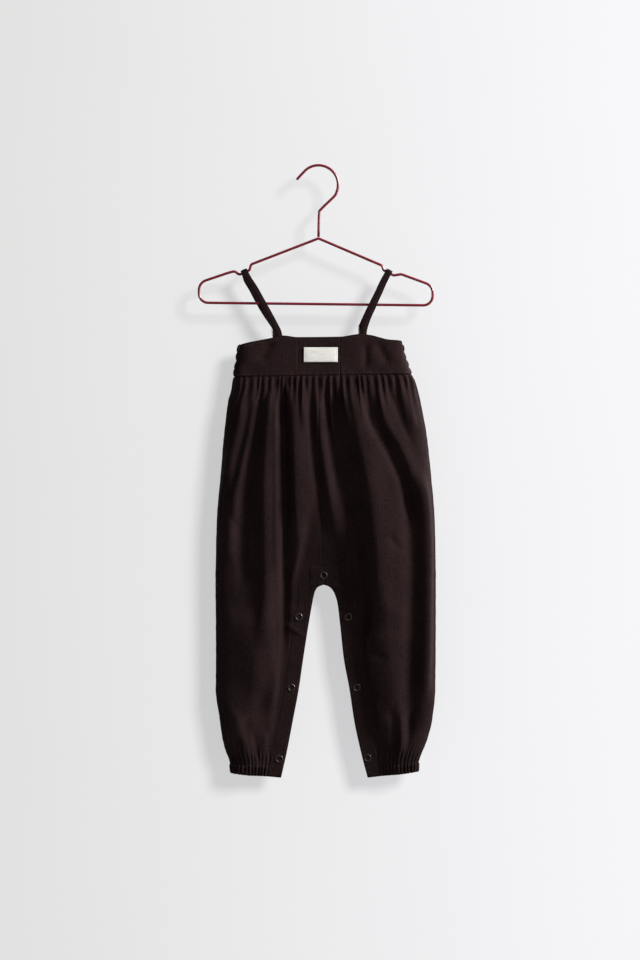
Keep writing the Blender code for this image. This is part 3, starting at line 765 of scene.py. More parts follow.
def new_object(name: str, bm: Mesh, finish: Material) -> Object:
    """Frees a bmesh into a linked object with one material.

    Args:
        name: Name of the object and its mesh.
        bm: The shape, in metres where it belongs.
        finish: Its material.

    Returns:
        The object, at the origin.
    """
    mesh = bpy.data.meshes.new(name)
    bm.to_mesh(mesh)
    bm.free()
    mesh.materials.append(finish)
    made = bpy.data.objects.new(name, mesh)
    bpy.context.scene.collection.objects.link(made)
    return made


def declare(piece: Object, node: str | None = None) -> None:
    """Makes a finished piece ride with the romper.

    Args:
        piece: The piece.
        node: The node that it stands for, where it has one.
    """
    if node:
        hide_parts(node)
    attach(piece, ROOT)
    log.info("%s: %d faces", piece.name, len(piece.data.polygons))


def new_sheet(name: str, bm: Mesh, finish: Material, thickness: float) -> Object:
    """Makes an object of an open sheet, with its wall inwards from the side that shows.

    Args:
        name: Name of the object and its mesh.
        bm: The sheet, in metres where it belongs.
        finish: Its material.
        thickness: In millimetres.

    Returns:
        The object, at the origin.
    """
    piece = new_object(name, bm, finish)
    wall = piece.modifiers.new("wall", "SOLIDIFY")
    wall.thickness = thickness * MM
    wall.offset = -1.0
    return piece


def swept(centres: Array, across: Array, through: Array, section: Array,
          closed: bool = False, capped: bool = True) -> Mesh:
    """A tube: a section carried along a route.

    Args:
        centres: The route's points, in millimetres.
        across: The section's first direction at each point.
        through: The section's second direction at each point.
        section: Points round the section, in those two directions. It may differ along the route, and
            then has one more axis in front.
        closed: Whether the route's end meets its start.
        capped: Whether open ends are filled.

    Returns:
        The tube in metres, with the way round and the way along as its UV map.
    """
    if section.ndim == 2:
        section = np.broadcast_to(section, (len(centres), *section.shape))
    if closed:
        centres, across, through, section = (
            np.concatenate([part, part[:1]]) for part in (centres, across, through, section)
        )
    section = np.concatenate([section, section[:, :1]], axis=1)
    points = (
        centres[:, None]
        + across[:, None] * section[:, :, :1]
        + through[:, None] * section[:, :, 1:]
    )
    round_steps = np.linalg.norm(np.diff(section[0], axis=0), axis=1)
    way_round = np.concatenate([[0.0], np.cumsum(round_steps)])
    way_along = np.concatenate([[0.0], np.cumsum(np.linalg.norm(np.diff(centres, axis=0), axis=1))])
    flat = np.stack(np.broadcast_arrays(way_round[None, :], way_along[:, None]), axis=2)
    bm = grid_mesh(points, flat)
    bmesh.ops.remove_doubles(bm, verts=bm.verts, dist=0.000002)
    rims = [edge for edge in bm.edges if edge.is_boundary]
    if rims and capped:
        bmesh.ops.holes_fill(bm, edges=rims, sides=0)
    bmesh.ops.recalc_face_normals(bm, faces=bm.faces)
    return bm


def linear(colour: str) -> tuple[float, float, float, float]:
    """Turns an sRGB hex colour into the linear colour that a shader takes.

    Args:
        colour: The colour, as "#rrggbb".

    Returns:
        Red, green, blue and 1.
    """
    parts = [int(colour[place : place + 2], 16) / 255 for place in (1, 3, 5)]
    values = [part / 12.92 if part <= 0.04045 else ((part + 0.055) / 1.055) ** 2.4 for part in parts]
    return (*values, 1.0)


def feed(tree: NodeTree, node: Node, inputs: dict) -> None:
    """Sets or links a node's inputs.

    Args:
        tree: The material's node tree.
        node: The node.
        inputs: Values, other nodes' output sockets, or other nodes, whose first output is taken, by
            the name or number of the input.
    """
    for name, value in inputs.items():
        if isinstance(value, Node):
            value = value.outputs[0]
        if isinstance(value, NodeSocket):
            tree.links.new(value, node.inputs[name])
        else:
            node.inputs[name].default_value = value


def add_node(tree: NodeTree, kind: str, inputs: dict | None = None,
             stops: Sequence[tuple[float, str]] = (), **settings: str) -> Node:
    """Adds a node with its inputs and settings.

    Args:
        tree: The material's node tree.
        kind: The node's type, without its leading "ShaderNode".
        inputs: What goes into it, as feed takes it.
        stops: Positions and sRGB hex colours, where the node has a colour ramp.
        **settings: Properties of the node.

    Returns:
        The new node.
    """
    node = tree.nodes.new("ShaderNode" + kind)
    for name, value in settings.items():
        setattr(node, name, value)
    if stops:
        for element, (position, colour) in zip(node.color_ramp.elements, stops):
            element.position = position
            element.color = linear(colour)
    feed(tree, node, inputs or {})
    return node


@dataclass(frozen=True)
class Finish:
    """A material with its shader, before any pattern is added."""

    name: str
    colour: str
    roughness: float
    metallic: float = 0.0
    sheen: float = 0.0
    sheen_roughness: float = 0.5
    sheen_tint: str = "#ffffff"
    specular: float = 0.5
    coat: float = 0.0
    coat_roughness: float = 0.12

    def start(self) -> tuple[Material, NodeTree, Node]:
        """Makes the material and sets what is the same all over.

        Returns:
            The material, its node tree and its shader.
        """
        made = bpy.data.materials.new(self.name)
        made.use_nodes = True
        tree = made.node_tree
        shader = tree.nodes["Principled BSDF"]
        feed(tree, shader, {
            "Base Color": linear(self.colour), "Roughness": self.roughness, "Metallic": self.metallic,
            "Specular IOR Level": self.specular, "Sheen Weight": self.sheen,
            "Sheen Roughness": self.sheen_roughness, "Sheen Tint": linear(self.sheen_tint),
            "Coat Weight": self.coat, "Coat Roughness": self.coat_roughness,
        })
        made.diffuse_color = linear(self.colour)
        return made, tree, shader


@dataclass(frozen=True)
class Needlecord(Finish):
    """Cotton needlecord, woven with cut pile in fine wales.

    The pile stands on the wales' crowns and catches light along its rounded sides. Painted shade
    makes the colour darker in each groove between the wales and lighter on the crowns. Real
    needlecord has a wale every 1.5 mm. Here they are 1.8 mm apart, as coarse as they need to be to
    show at this distance. The pile's tufts are about 1.1 mm across and 0.4 mm along.
    """

    dark: str = "#0c0606"
    light: str = "#28191a"
    wale: float = 1.8
    drift: float = 1.6
    pile: float = 0.3
    tufts: float = 0.9
    rib: float = 0.4
    strength: float = 0.65

    def make(self) -> Material:
        """Builds the material.

        Returns:
            The material, which reads the cut cloth's UV map in metres.
        """
        made, tree, shader = self.start()
        grain = add_node(tree, "UVMap", uv_map="grain")
        place = add_node(tree, "SeparateXYZ", {0: grain})
        drift = add_node(tree, "TexNoise", {"Vector": grain, "Scale": 45.0, "Detail": 2.0})
        shift = add_node(tree, "Math", {0: drift, 1: self.drift * self.wale * MM}, operation="MULTIPLY")
        across = add_node(tree, "Math", {0: place, 1: shift}, operation="ADD")
        turns = add_node(tree, "Math", {0: across, 1: math.pi / (self.wale * MM)}, operation="MULTIPLY")
        wave = add_node(tree, "Math", {0: turns}, operation="SINE")
        crown = add_node(tree, "Math", {0: wave}, operation="ABSOLUTE")
        lengthwise = add_node(tree, "Mapping", {"Vector": grain, "Scale": (900.0, 2400.0, 1.0)})
        tufts = add_node(tree, "TexNoise", {
            "Vector": lengthwise, "Scale": 1.0, "Detail": 3.0, "Roughness": 0.6,
        })
        crosswise = add_node(tree, "Mapping", {"Vector": grain, "Scale": (160.0, 620.0, 1.0)})
        weft = add_node(tree, "TexNoise", {"Vector": crosswise, "Scale": 1.0, "Detail": 2.0})
        broad = add_node(tree, "TexNoise", {
            "Vector": grain, "Scale": 22.0, "Detail": 3.0, "Roughness": 0.55,
        })
        height = add_node(tree, "Math", {0: tufts, 1: self.tufts, 2: crown}, operation="MULTIPLY_ADD")
        relief = add_node(tree, "Math", {0: weft, 1: self.rib, 2: height}, operation="MULTIPLY_ADD")
        rise = add_node(tree, "Bump", {
            "Height": relief, "Distance": self.pile * MM, "Strength": self.strength,
        })
        worn = add_node(tree, "Math", {0: broad, 1: 0.8, 2: -0.42}, operation="MULTIPLY_ADD")
        # Painted shade: crown makes the colour lighter on each wale's crown and darker in the grooves
        # between wales, worn adds random tone and weft adds specks
        tone = add_node(tree, "Math", {0: crown, 1: 0.2, 2: worn}, operation="MULTIPLY_ADD")
        speck = add_node(tree, "Math", {0: weft, 1: 1.1, 2: tone}, operation="MULTIPLY_ADD")
        colour = add_node(tree, "ValToRGB", {0: speck}, ((0.15, self.dark), (1.0, self.light)))
        feed(tree, shader, {"Base Color": colour, "Normal": rise})
        return made


@dataclass(frozen=True)
class WovenLabel(Finish):
    """Polyester label tape, woven fine and flat, with a faint satin stripe along it.

    Its threads are 0.55 mm apart, coarser than real ones, because finer ones wouldn't show.
    """

    thread: float = 0.55
    streak: str = "#d3d2cc"

    def make(self) -> Material:
        """Builds the material.

        Returns:
            The material, which reads the label's UV map in metres.
        """
        made, tree, shader = self.start()
        grain = add_node(tree, "UVMap", uv_map="grain")
        place = add_node(tree, "SeparateXYZ", {0: grain})
        waves = []
        for axis, pitch in ((0, self.thread), (1, 1.6 * self.thread)):
            step = 2 * math.pi / (pitch * MM)
            turns = add_node(tree, "Math", {0: place.outputs[axis], 1: step}, operation="MULTIPLY")
            waves.append(add_node(tree, "Math", {0: turns}, operation="SINE"))
        weave = add_node(tree, "Math", {0: waves[0], 1: waves[1]}, operation="ADD")
        rise = add_node(tree, "Bump", {"Height": weave, "Distance": 0.06 * MM, "Strength": 0.6})
        stretched = add_node(tree, "Mapping", {"Vector": grain, "Scale": (90.0, 900.0, 1.0)})
        streaks = add_node(tree, "TexNoise", {"Vector": stretched, "Scale": 1.0, "Detail": 2.0})
        colour = add_node(tree, "ValToRGB", {0: streaks}, ((0.3, self.streak), (0.75, self.colour)))
        feed(tree, shader, {"Base Color": colour, "Normal": rise})
        return made


@dataclass(frozen=True)
class Mottled(Finish):
    """A hard finish, dipped or plated, whose tone and gloss change a little from place to place."""

    other: str = "#000000"
    scale: float = 120.0
    relief: float = 0.03
    gloss_change: float = 0.12

    def make(self) -> Material:
        """Builds the material.

        Returns:
            The material, which reads Object coordinates.
        """
        made, tree, shader = self.start()
        place = add_node(tree, "TexCoord").outputs["Object"]
        patches = add_node(tree, "TexNoise", {"Vector": place, "Scale": self.scale, "Detail": 3.0})
        fine = add_node(tree, "TexNoise", {"Vector": place, "Scale": 14 * self.scale, "Detail": 2.0})
        colour = add_node(tree, "ValToRGB", {0: patches}, ((0.3, self.other), (0.7, self.colour)))
        gloss = add_node(tree, "MapRange", {
            "Value": patches,
            "To Min": self.roughness - self.gloss_change / 2,
            "To Max": self.roughness + self.gloss_change / 2,
        })
        rise = add_node(tree, "Bump", {
            "Height": fine, "Distance": self.relief * MM, "Strength": 0.35,
        })
        feed(tree, shader, {"Base Color": colour, "Roughness": gloss, "Normal": rise})
        return made


@dataclass(frozen=True)
class Thread(Finish):
    """Spun polyester sewing thread: two plies twisted, a little glossier than the cloth."""

    def make(self) -> Material:
        """Builds the material.

        Returns:
            The material, which reads Object coordinates.
        """
        made, tree, shader = self.start()
        place = add_node(tree, "TexCoord").outputs["Object"]
        fibres = add_node(tree, "TexNoise", {"Vector": place, "Scale": 2500.0, "Detail": 2.0})
        rise = add_node(tree, "Bump", {"Height": fibres, "Distance": 0.08 * MM, "Strength": 0.6})
        feed(tree, shader, {"Normal": rise})
        return made


@dataclass(frozen=True)
class Finishes:
    """Every material of the object."""

    cord: Material
    label: Material
    thread: Material
    lacquer: Material
    bronze: Material
    steel: Material

    @classmethod
    def make(cls) -> "Finishes":
        """Builds them all.

        Returns:
            The materials.
        """
        return cls(
            cord=Needlecord(
                "cotton needlecord, woven, cut pile", "#211616", 0.95,
                sheen=0.1, sheen_roughness=0.35, sheen_tint="#a8706a", specular=0.12,
            ).make(),
            label=WovenLabel("polyester label tape, woven", "#e9e8e2", 0.62, sheen=0.15).make(),
            thread=Thread("spun polyester thread, dyed brown", "#1e1514", 0.7, sheen=0.1).make(),
            # A deep crimson skin with a soft shine along the wire
            lacquer=Mottled(
                "steel wire, dipped in crimson lacquer", "#7c1627", 0.4, coat=0.25, other="#6a1221",
                scale=60.0, relief=0.008,
            ).make(),
            # Dull brown metal that shows as a pale ring against the cloth
            bronze=Mottled(
                "brass ring, plated dark bronze, pressed", "#7d726c", 0.36, metallic=1.0,
                other="#5a524d", scale=260.0,
            ).make(),
            # Small bright glints behind the straps
            steel=Mottled(
                "steel wire, nickel plated, bent", "#dedcd9", 0.36, metallic=1.0, other="#c6c4c1",
                scale=300.0, gloss_change=0.08,
            ).make(),
        )


class Gathers(NamedTuple):
    """Gathers along an edge: how many, how high, and how far they run from it, more or less.

    Their spacing drifts by a share of a gather, and they start low and reach full height a little
    way from the edge.
    """

    count: int
    height: float
    reach: float
    spread: float
    seed: int
    drift: float = 0.42
    start: float = 9.0

    def phase(self, share: Array) -> Array:
        """Number of gathers passed at a share of the edge, unevenly spaced."""
        turns = share * self.count
        return turns + self.drift * Unevenness(self.seed, 0.85, 1.0).at(turns, 0.5)

    def relief(self, share: Array, fall: Array, held: float) -> Array:
        """Height of the gathers.

        Args:
            share: Place along the edge, from 0 to 1.
            fall: Distance from the edge, in millimetres.
            held: Share of the height that is left right at the edge.

        Returns:
            Heights above the mean form, in millimetres.
        """
        turns = self.phase(share)
        tallness = 0.85 + 0.5 * Unevenness(self.seed + 1, 1.1, 1.0).at(turns, 0.5)
        length = self.reach + self.spread * Unevenness(self.seed + 2, 0.9, 1.0).at(turns, 0.5)
        strength = (held + (1 - held) * ease(fall / self.start)) * (1 - ease(fall / length))
        return -self.height * strength * tallness * np.cos(2 * math.pi * turns)


@dataclass
class LegPanel:
    """One half of the front or back, from the yoke seam to the leg hem.

    The rows are distances between rows of points. The grooves are how deep a seam or a sewn line
    draws the cloth in, and the band is the facing along the leg's snapped edge.
    """

    side: Side
    face: Face
    columns: int
    gathers: Gathers
    cuff: Gathers
    cut_width: float = 172.0
    cut_length: float = 530.0
    cut_share: float = 0.82
    fullness: float = 0.38
    gathered_length: float = 150.0
    front_row: float = 2.5
    back_row: float = 3.4
    close_row: float = 0.95
    fold_depth: float = 1.2
    slump: float = 0.8
    crumple: float = 0.3
    pucker: float = 0.3
    arch_pucker: float = 0.7
    arch_reach: float = 15.0
    band_width: float = 18.0
    band_height: float = 0.28
    band_wear: float = 0.16
    band_groove: float = 0.4
    rolled_edge: float = 0.7
    centre_groove: float = 0.55
    side_groove: float = 0.6
    yoke_groove: float = 0.5
    hem_groove: float = 0.9
    casing_groove: float = 0.55
    casing_height: float = 14.5
    tuck: float = 0.2
    points: Array | None = None
    piece: Object | None = None

    @property
    def name(self) -> str:
        """The node that this piece stands for."""
        return f"{self.face.name.lower()}_{self.side.name.lower()}"

    def spacing(self, height: float) -> float:
        """Spaces the rows: close at the gathers, the crotch and the cuff.

        Args:
            height: Height of a row.

        Returns:
            Distance to the next row.
        """
        middle = self.front_row if self.face is Face.FRONT else self.back_row
        close = max(
            float(bump(height - YOKE_SEAM_Z, 26.0)),
            float(bump(height - (CROTCH_Z - 5.0), 9.0)),
            float(bump(height - HEM_Z, 32.0)),
        )
        return middle - (middle - self.close_row) * close

    def relief(self, lay: Lay) -> Array:
        """Works out the cloth's height above its mean form.

        Args:
            lay: The panel's places.

        Returns:
            Heights in millimetres.
        """
        fall = YOKE_SEAM_Z - lay.height
        x, z = lay.x, lay.z
        total = self.fold_depth * crease_relief(self.face, x, z, lay.calm)
        total += self.slump * SLUMP.at(x + SHIFT_X, z + SHIFT_Z) * lay.calm
        total += self.crumple * CRUMPLE.at(x + SHIFT_X, z + SHIFT_Z) * (0.3 + 0.7 * lay.calm)
        total += self.gathers.relief(lay.share, fall, 0.45) * ease(lay.from_side / 3.0)
        total += self._cuff_relief(lay)
        for patch in PATCHES:
            if patch.face is self.face:
                total += patch.relief(x, z)
        total += self.pucker * PUCKER.at(z + SHIFT_Z, 0.5) * bump(lay.from_side - 3.0, 4.0)
        arch = bump(np.hypot(x - CROTCH_X, 0.8 * (lay.height - CROTCH_Z + 2)), self.arch_reach)
        total += self.arch_pucker * PUCKER.at(1.4 * x + SHIFT_X, 2.5) * arch
        total -= (
            self.side_groove * bump(lay.from_side, 1.0)
            + self.yoke_groove * bump(fall, 1.3)
            + self.hem_groove * bump(lay.height - HEM_Z, 1.1)
        )
        centre = -self.centre_groove * bump(lay.from_inner, 0.9)
        return total + np.where(lay.height > CROTCH_Z, centre, self._placket(lay))

    def _placket(self, lay: Lay) -> Array:
        """The faced band along the leg's snapped edge, its rolled edge and its stitched line.

        Args:
            lay: The panel's places.

        Returns:
            Heights in millimetres.
        """
        begins = ease((CROTCH_Z - 6 - lay.height) / 12)
        faced = 1 - ease((lay.from_inner - self.band_width) / 2.6)
        soft = self.band_height + self.band_wear * FACING.at(lay.from_inner + 40, lay.z + SHIFT_Z)
        line = self.band_groove * bump(lay.from_inner - BAND_LINE, 0.9)
        return begins * (faced * soft - line) - self.rolled_edge * bump(lay.from_inner, 0.8)

    def _cuff_relief(self, lay: Lay) -> Array:
        """Ruffles of the elastic's casing, its sewn line, and the gathers above it.

        Args:
            lay: The panel's places.

        Returns:
            Heights in millimetres.
        """
        rise = lay.height - CASING_Z
        reach = ease(lay.share * 14) * ease((lay.from_inner - self.band_width + 3.0) / 7.0)
        turns = self.cuff.phase(lay.share)
        round_top = ease(-rise / 4.0)
        below = self.cuff.height * -(0.35 + 0.55 * round_top) * np.cos(2 * math.pi * turns)
        below += 0.5 * round_top * ease((rise + self.casing_height) / 4.0)
        waves = np.where(rise >= 0, self.cuff.relief(lay.share, np.maximum(rise, 0.0), 0.35), below)
        sewn = self.casing_groove * bump(rise, 1.1) * ease((lay.from_inner - 12.0) / 6.0)
        return reach * waves - sewn

    def build(self, finish: Material) -> None:
        """Models the panel.

        Args:
            finish: The cloth.
        """
        rows = spaced_rows(HEM_Z, YOKE_SEAM_Z - GAP / 2, self.spacing)
        steps = np.linspace(0.0, 1.0, self.columns + 1)
        lay = Lay(len(rows), self.columns + 1)
        flat = np.zeros((len(rows), self.columns + 1, 2))
        for number, height in enumerate(rows):
            ring = HalfRing(self.side, float(height))
            start = ring.side_seam
            end = ring.length if self.face is Face.FRONT else 0.0
            arcs = start + (end - start) * steps
            lay.fill(number, slice(None), ring, arcs, self.face)
            full = 1 + self.fullness * (1 - ease((YOKE_SEAM_Z - height) / self.gathered_length))
            inner = abs(ring.inner - CROTCH_X) if height < CROTCH_Z else 0.0
            flat[number, :, 0] = (inner + np.abs(end - arcs)) * full
        level = 1 - ease((YOKE_SEAM_Z - lay.height) / (YOKE_SEAM_Z - TILT_END_Z))
        hem = ease((lay.height - HEM_RISE_START_Z) / (HEM_Z - HEM_RISE_START_Z))
        lay.place[:, :, 2] += YOKE_SEAM_TILT * lay.x * level + HEM_RISE[self.side] * (1 - steps) * hem
        flat[:, :, 1] = lay.z
        points = lay.raised(self.relief(lay))
        joined = ease((lay.height - CROTCH_Z) / 3.0) * (steps == 1.0)
        points[:, :, 0] -= self.side.value * self.tuck * joined
        if (self.side is Side.LEFT) != (self.face is Face.FRONT):
            points = points[:, ::-1]
            flat = flat[:, ::-1]
        self.points = points
        self.piece = new_sheet(self.name + "_cord", grid_mesh(points, flat), finish, CLOTH)

    def dress(self) -> None:
        declare(self.piece, self.name)
        above = "yoke_back" if self.face is Face.BACK else f"yoke_front_{self.side.name.lower()}"


SLUMP = Unevenness(11, 34.0, 70.0)
CRUMPLE = Unevenness(12, 11.0, 19.0)
PUCKER = Unevenness(13, 4.5, 1.0)
FACING = Unevenness(14, 9.0, 6.0)
YOKE_CRUMPLE = Unevenness(15, 15.0, 13.0)


@dataclass
class FrontYoke:
    """The front yoke's three pieces, lined and edge-stitched, with the gathers' puckers at its foot."""

    gathers: dict[Side, Gathers]
    rows: int = 52
    side_columns: int = 84
    centre_columns: int = 56
    set_in: float = 2.5
    tuck: float = 0.3
    close_ends: float = 0.08
    crumple: float = 0.32
    puff: float = 0.4
    pleat: float = 0.5
    pucker: float = 0.25
    foot_groove: float = 0.45
    top_groove: float = 0.8
    line_groove: float = 0.22
    centre_grooves: tuple[float, float] = (0.3, 0.5)
    grids: list[Array] = field(default_factory=list)
    pieces: list[Object] = field(default_factory=list)

    def relief(self, lay: Lay, up: Array, down: Array) -> Array:
        """Height of the cloth above its mean form.

        Args:
            lay: The piece's places.
            up: Distances from the yoke seam.
            down: Distances from the top edge.

        Returns:
            Heights in millimetres.
        """
        x, z = lay.x, lay.z
        total = crease_relief(Face.FRONT, x, z, ease(lay.from_side / 8.0))
        total += self.crumple * YOKE_CRUMPLE.at(x + SHIFT_X, z + SHIFT_Z)
        total += self.puff * ease(up / 2.5) * bump(up - 2.0, 7.0)
        left, right = (self.gathers[side].phase(lay.share) for side in Side)
        turns = np.where(x < 0, left, right)
        deep = 0.55 + 0.45 * Unevenness(31, 1.3, 1.0).at(turns, 0.5)
        total -= self.pleat * deep * bump(up - 1.5, 4.2) * (0.5 + 0.5 * np.cos(2 * math.pi * turns))
        total -= self.foot_groove * bump(up, 0.8) + self.top_groove * bump(down, 0.8)
        total -= self.line_groove * bump(down - TOP_LINE, 0.8)
        for seam, groove in zip(YOKE_CENTRE, self.centre_grooves):
            total -= groove * bump(x - seam, 0.7)
        return total + self.pucker * PUCKER.at(z + SHIFT_Z, 0.5) * bump(lay.from_side - 2.0, 3.0)

    def _piece(self, name: str, side_of: Array, place: Callable[[HalfRing], Array],
               finish: Material) -> None:
        """Models one piece of the yoke.

        Args:
            name: The node that it stands for.
            side_of: The half that each column is on, as the side's number, from left to right.
            place: Gives each column's place along a ring.
            finish: The cloth.
        """
        lay = Lay(self.rows + 1, len(side_of))
        edge = math.cos(math.pi * self.close_ends)
        way = (1 - 2 * self.close_ends) * np.arange(self.rows + 1) / self.rows
        turns = np.pi * (self.close_ends + way)
        shares = 0.5 - 0.5 * np.cos(turns) / edge
        for number, share in enumerate(shares):
            level = YOKE_SEAM_Z + (YOKE_TOP_Z - YOKE_SEAM_Z) * float(share)
            for side in Side:
                mine = side_of == side.value
                if mine.any():
                    ring = HalfRing(side, level)
                    lay.fill(number, mine, ring, place(ring)[mine], Face.FRONT)
        foot = seam_z(lay.x) + GAP / 2
        top = yoke_top_z(lay.x)
        lay.place[:, :, 2] = foot + (top - foot) * shares[:, None]
        points = lay.raised(self.relief(lay, lay.z - foot, top - lay.z))
        bm = grid_mesh(points, points[:, :, [0, 2]])
        self.grids.append(points)
        self.pieces.append(new_sheet(name + "_cord", bm, finish, CLOTH))

    def build(self, finish: Material) -> None:
        """Models the three pieces.

        Args:
            finish: The cloth.
        """
        for side, seam in zip(Side, YOKE_CENTRE):
            stop = seam - side.value * self.tuck
            shares = np.linspace(0.0, 1.0, self.side_columns + 1) ** 1.15
            if side is Side.RIGHT:
                shares = shares[::-1]

            def place(ring: HalfRing, shares: Array = shares, stop: float = stop) -> Array:
                """Places on a ring at shares of the way from the side seam."""
                start = ring.side_seam + GAP / 2 + self.set_in * ease((ring.z - ARMHOLE_FOOT_Z) / 15.0)
                return start + (ring.arc_at_front(stop) - start) * shares

            side_of = np.full(len(shares), side.value)
            self._piece(f"yoke_front_{side.name.lower()}", side_of, place, finish)
        stops = np.linspace(YOKE_CENTRE[0] + GAP / 2, YOKE_CENTRE[1] - GAP / 2, self.centre_columns + 1)
        self._piece(
            "yoke_front_centre",
            np.where(stops < 0, -1, 1),
            lambda ring: ring.arc_at_front(stops),
            finish,
        )

    def dress(self) -> None:
        cuts = (
            ("yoke_front_left", 88.0, 51.0, "strap_left"),
            ("yoke_front_right", 99.0, 54.0, "strap_right"),
            ("yoke_front_centre", 55.0, 50.5, "yoke_front_left"),
        )
        for piece, (node, width, length, above) in zip(self.pieces, cuts):
            declare(piece, node)


@dataclass
class BackYoke:
    """The elasticated back yoke: four sewn channels, puckered unevenly."""

    channels: int = 4
    puckers: int = 30
    height: float = 1.15
    lane_blend: float = 0.42
    edge_groove: float = 0.7
    cut_width: float = 330.0
    cut_height: float = 48.0
    rows: int = 64
    columns: int = 300
    points: Array | None = None
    piece: Object | None = None

    def relief(self, share: Array, up: float, away: Array) -> Array:
        """Height of the puckers.

        Args:
            share: Place along the yoke, from -1 at the left side seam to 1 at the right.
            up: Share of the height, from 0 at the yoke seam to 1 at the top edge.
            away: Distance from the nearer side seam.

        Returns:
            Heights in millimetres.
        """
        channel = up * self.channels
        lane = min(int(channel), self.channels - 1)
        within = channel - lane
        puffed = math.sin(math.pi * within) ** 0.6
        turns = share * self.puckers
        total = np.zeros_like(share)
        weight = 0.0
        for near in (lane - 1, lane, lane + 1):
            nearness = math.exp(-(((channel - near - 0.5) / self.lane_blend) ** 2))
            warp = 0.5 * Unevenness(40 + near, 0.9, 1.0).at(turns + 60, 0.5)
            tall = 0.85 + 0.4 * Unevenness(50 + near, 1.2, 1.0).at(turns + 60, 0.5)
            total += nearness * tall * np.cos(2 * math.pi * (turns + warp))
            weight += nearness
        total = total / weight * self.height * (0.35 + 0.65 * puffed) * ease(away / 6.0)
        return total + (puffed - 0.5) * ease(away / 1.2)

    def build(self, finish: Material) -> None:
        """Models the back yoke.

        Args:
            finish: The cloth.
        """
        shares = np.linspace(1.0, -1.0, self.columns + 1)
        points = np.zeros((self.rows + 1, self.columns + 1, 3))
        for number in range(self.rows + 1):
            up = number / self.rows
            level = YOKE_SEAM_Z + (YOKE_TOP_Z - YOKE_SEAM_Z) * up
            for side in Side:
                ring = HalfRing(side, level)
                mine = shares <= 0 if side is Side.LEFT else shares > 0
                arcs = (ring.side_seam - GAP / 2) * np.abs(shares[mine])
                place, outward = ring.at(arcs)
                foot = seam_z(place[:, 0]) + GAP / 2
                top = back_top_z(place[:, 0])
                z = foot + (top - foot) * up
                lift = self.relief(shares[mine], up, ring.side_seam - arcs)
                lift -= self.edge_groove * (bump(top - z, 0.9) + bump(z - foot, 1.0))
                points[number, mine, :2] = place + outward * lift[:, None]
                points[number, mine, 2] = z
        flat = np.stack([
            np.broadcast_to(-shares * self.cut_width / 2, points.shape[:2]),
            points[:, :, 2],
        ], axis=2)
        self.points = points
        self.piece = new_sheet("yoke_back_cord", grid_mesh(points, flat), finish, CLOTH)

    def dress(self) -> None:
        declare(self.piece, "yoke_back")


class StrapRoute(NamedTuple):
    """Where one strap runs: the wire it hangs on, its lean there, and its stations on each face."""

    side: Side
    wire: tuple[float, float]
    lean: float
    front: tuple[tuple[float, float, float], ...]
    back: tuple[tuple[float, float, float], ...]
    slider: tuple[float, float]


# Stations are x, z, distance from the middle plane, going down from the wire
STRAP_ROUTES = (
    StrapRoute(
        Side.LEFT,
        (-95.0, -136.2),
        0.45,
        ((-89.6, -146.0, 3.9), (-82.4, -157.0, 4.8), (-74.3, -171.5, 5.3), (-65.6, -187.0, 5.6),
         (-57.0, -203.0, 5.4), (-52.2, -212.5, 5.0), (-50.5, -221.0, 5.5), (-50.3, -234.0, 6.1)),
        ((-92.2, -146.0, 3.9), (-85.6, -157.0, 4.8), (-78.0, -171.5, 5.3), (-69.0, -187.0, 5.6)),
        (-55.0, -212.6),
    ),
    StrapRoute(
        Side.RIGHT,
        (90.0, -136.5),
        -0.5,
        ((83.6, -149.0, 3.9), (78.2, -161.5, 4.8), (73.4, -171.8, 5.3), (69.0, -182.1, 5.5),
         (64.3, -192.4, 5.5), (60.4, -202.7, 5.3), (58.0, -212.0, 5.2), (57.8, -220.0, 5.5),
         (57.8, -233.0, 6.1)),
        ((83.0, -149.0, 3.9), (77.2, -161.5, 4.8), (71.4, -173.0, 5.3), (64.5, -187.0, 5.6)),
        (56.4, -209.8),
    ),
)


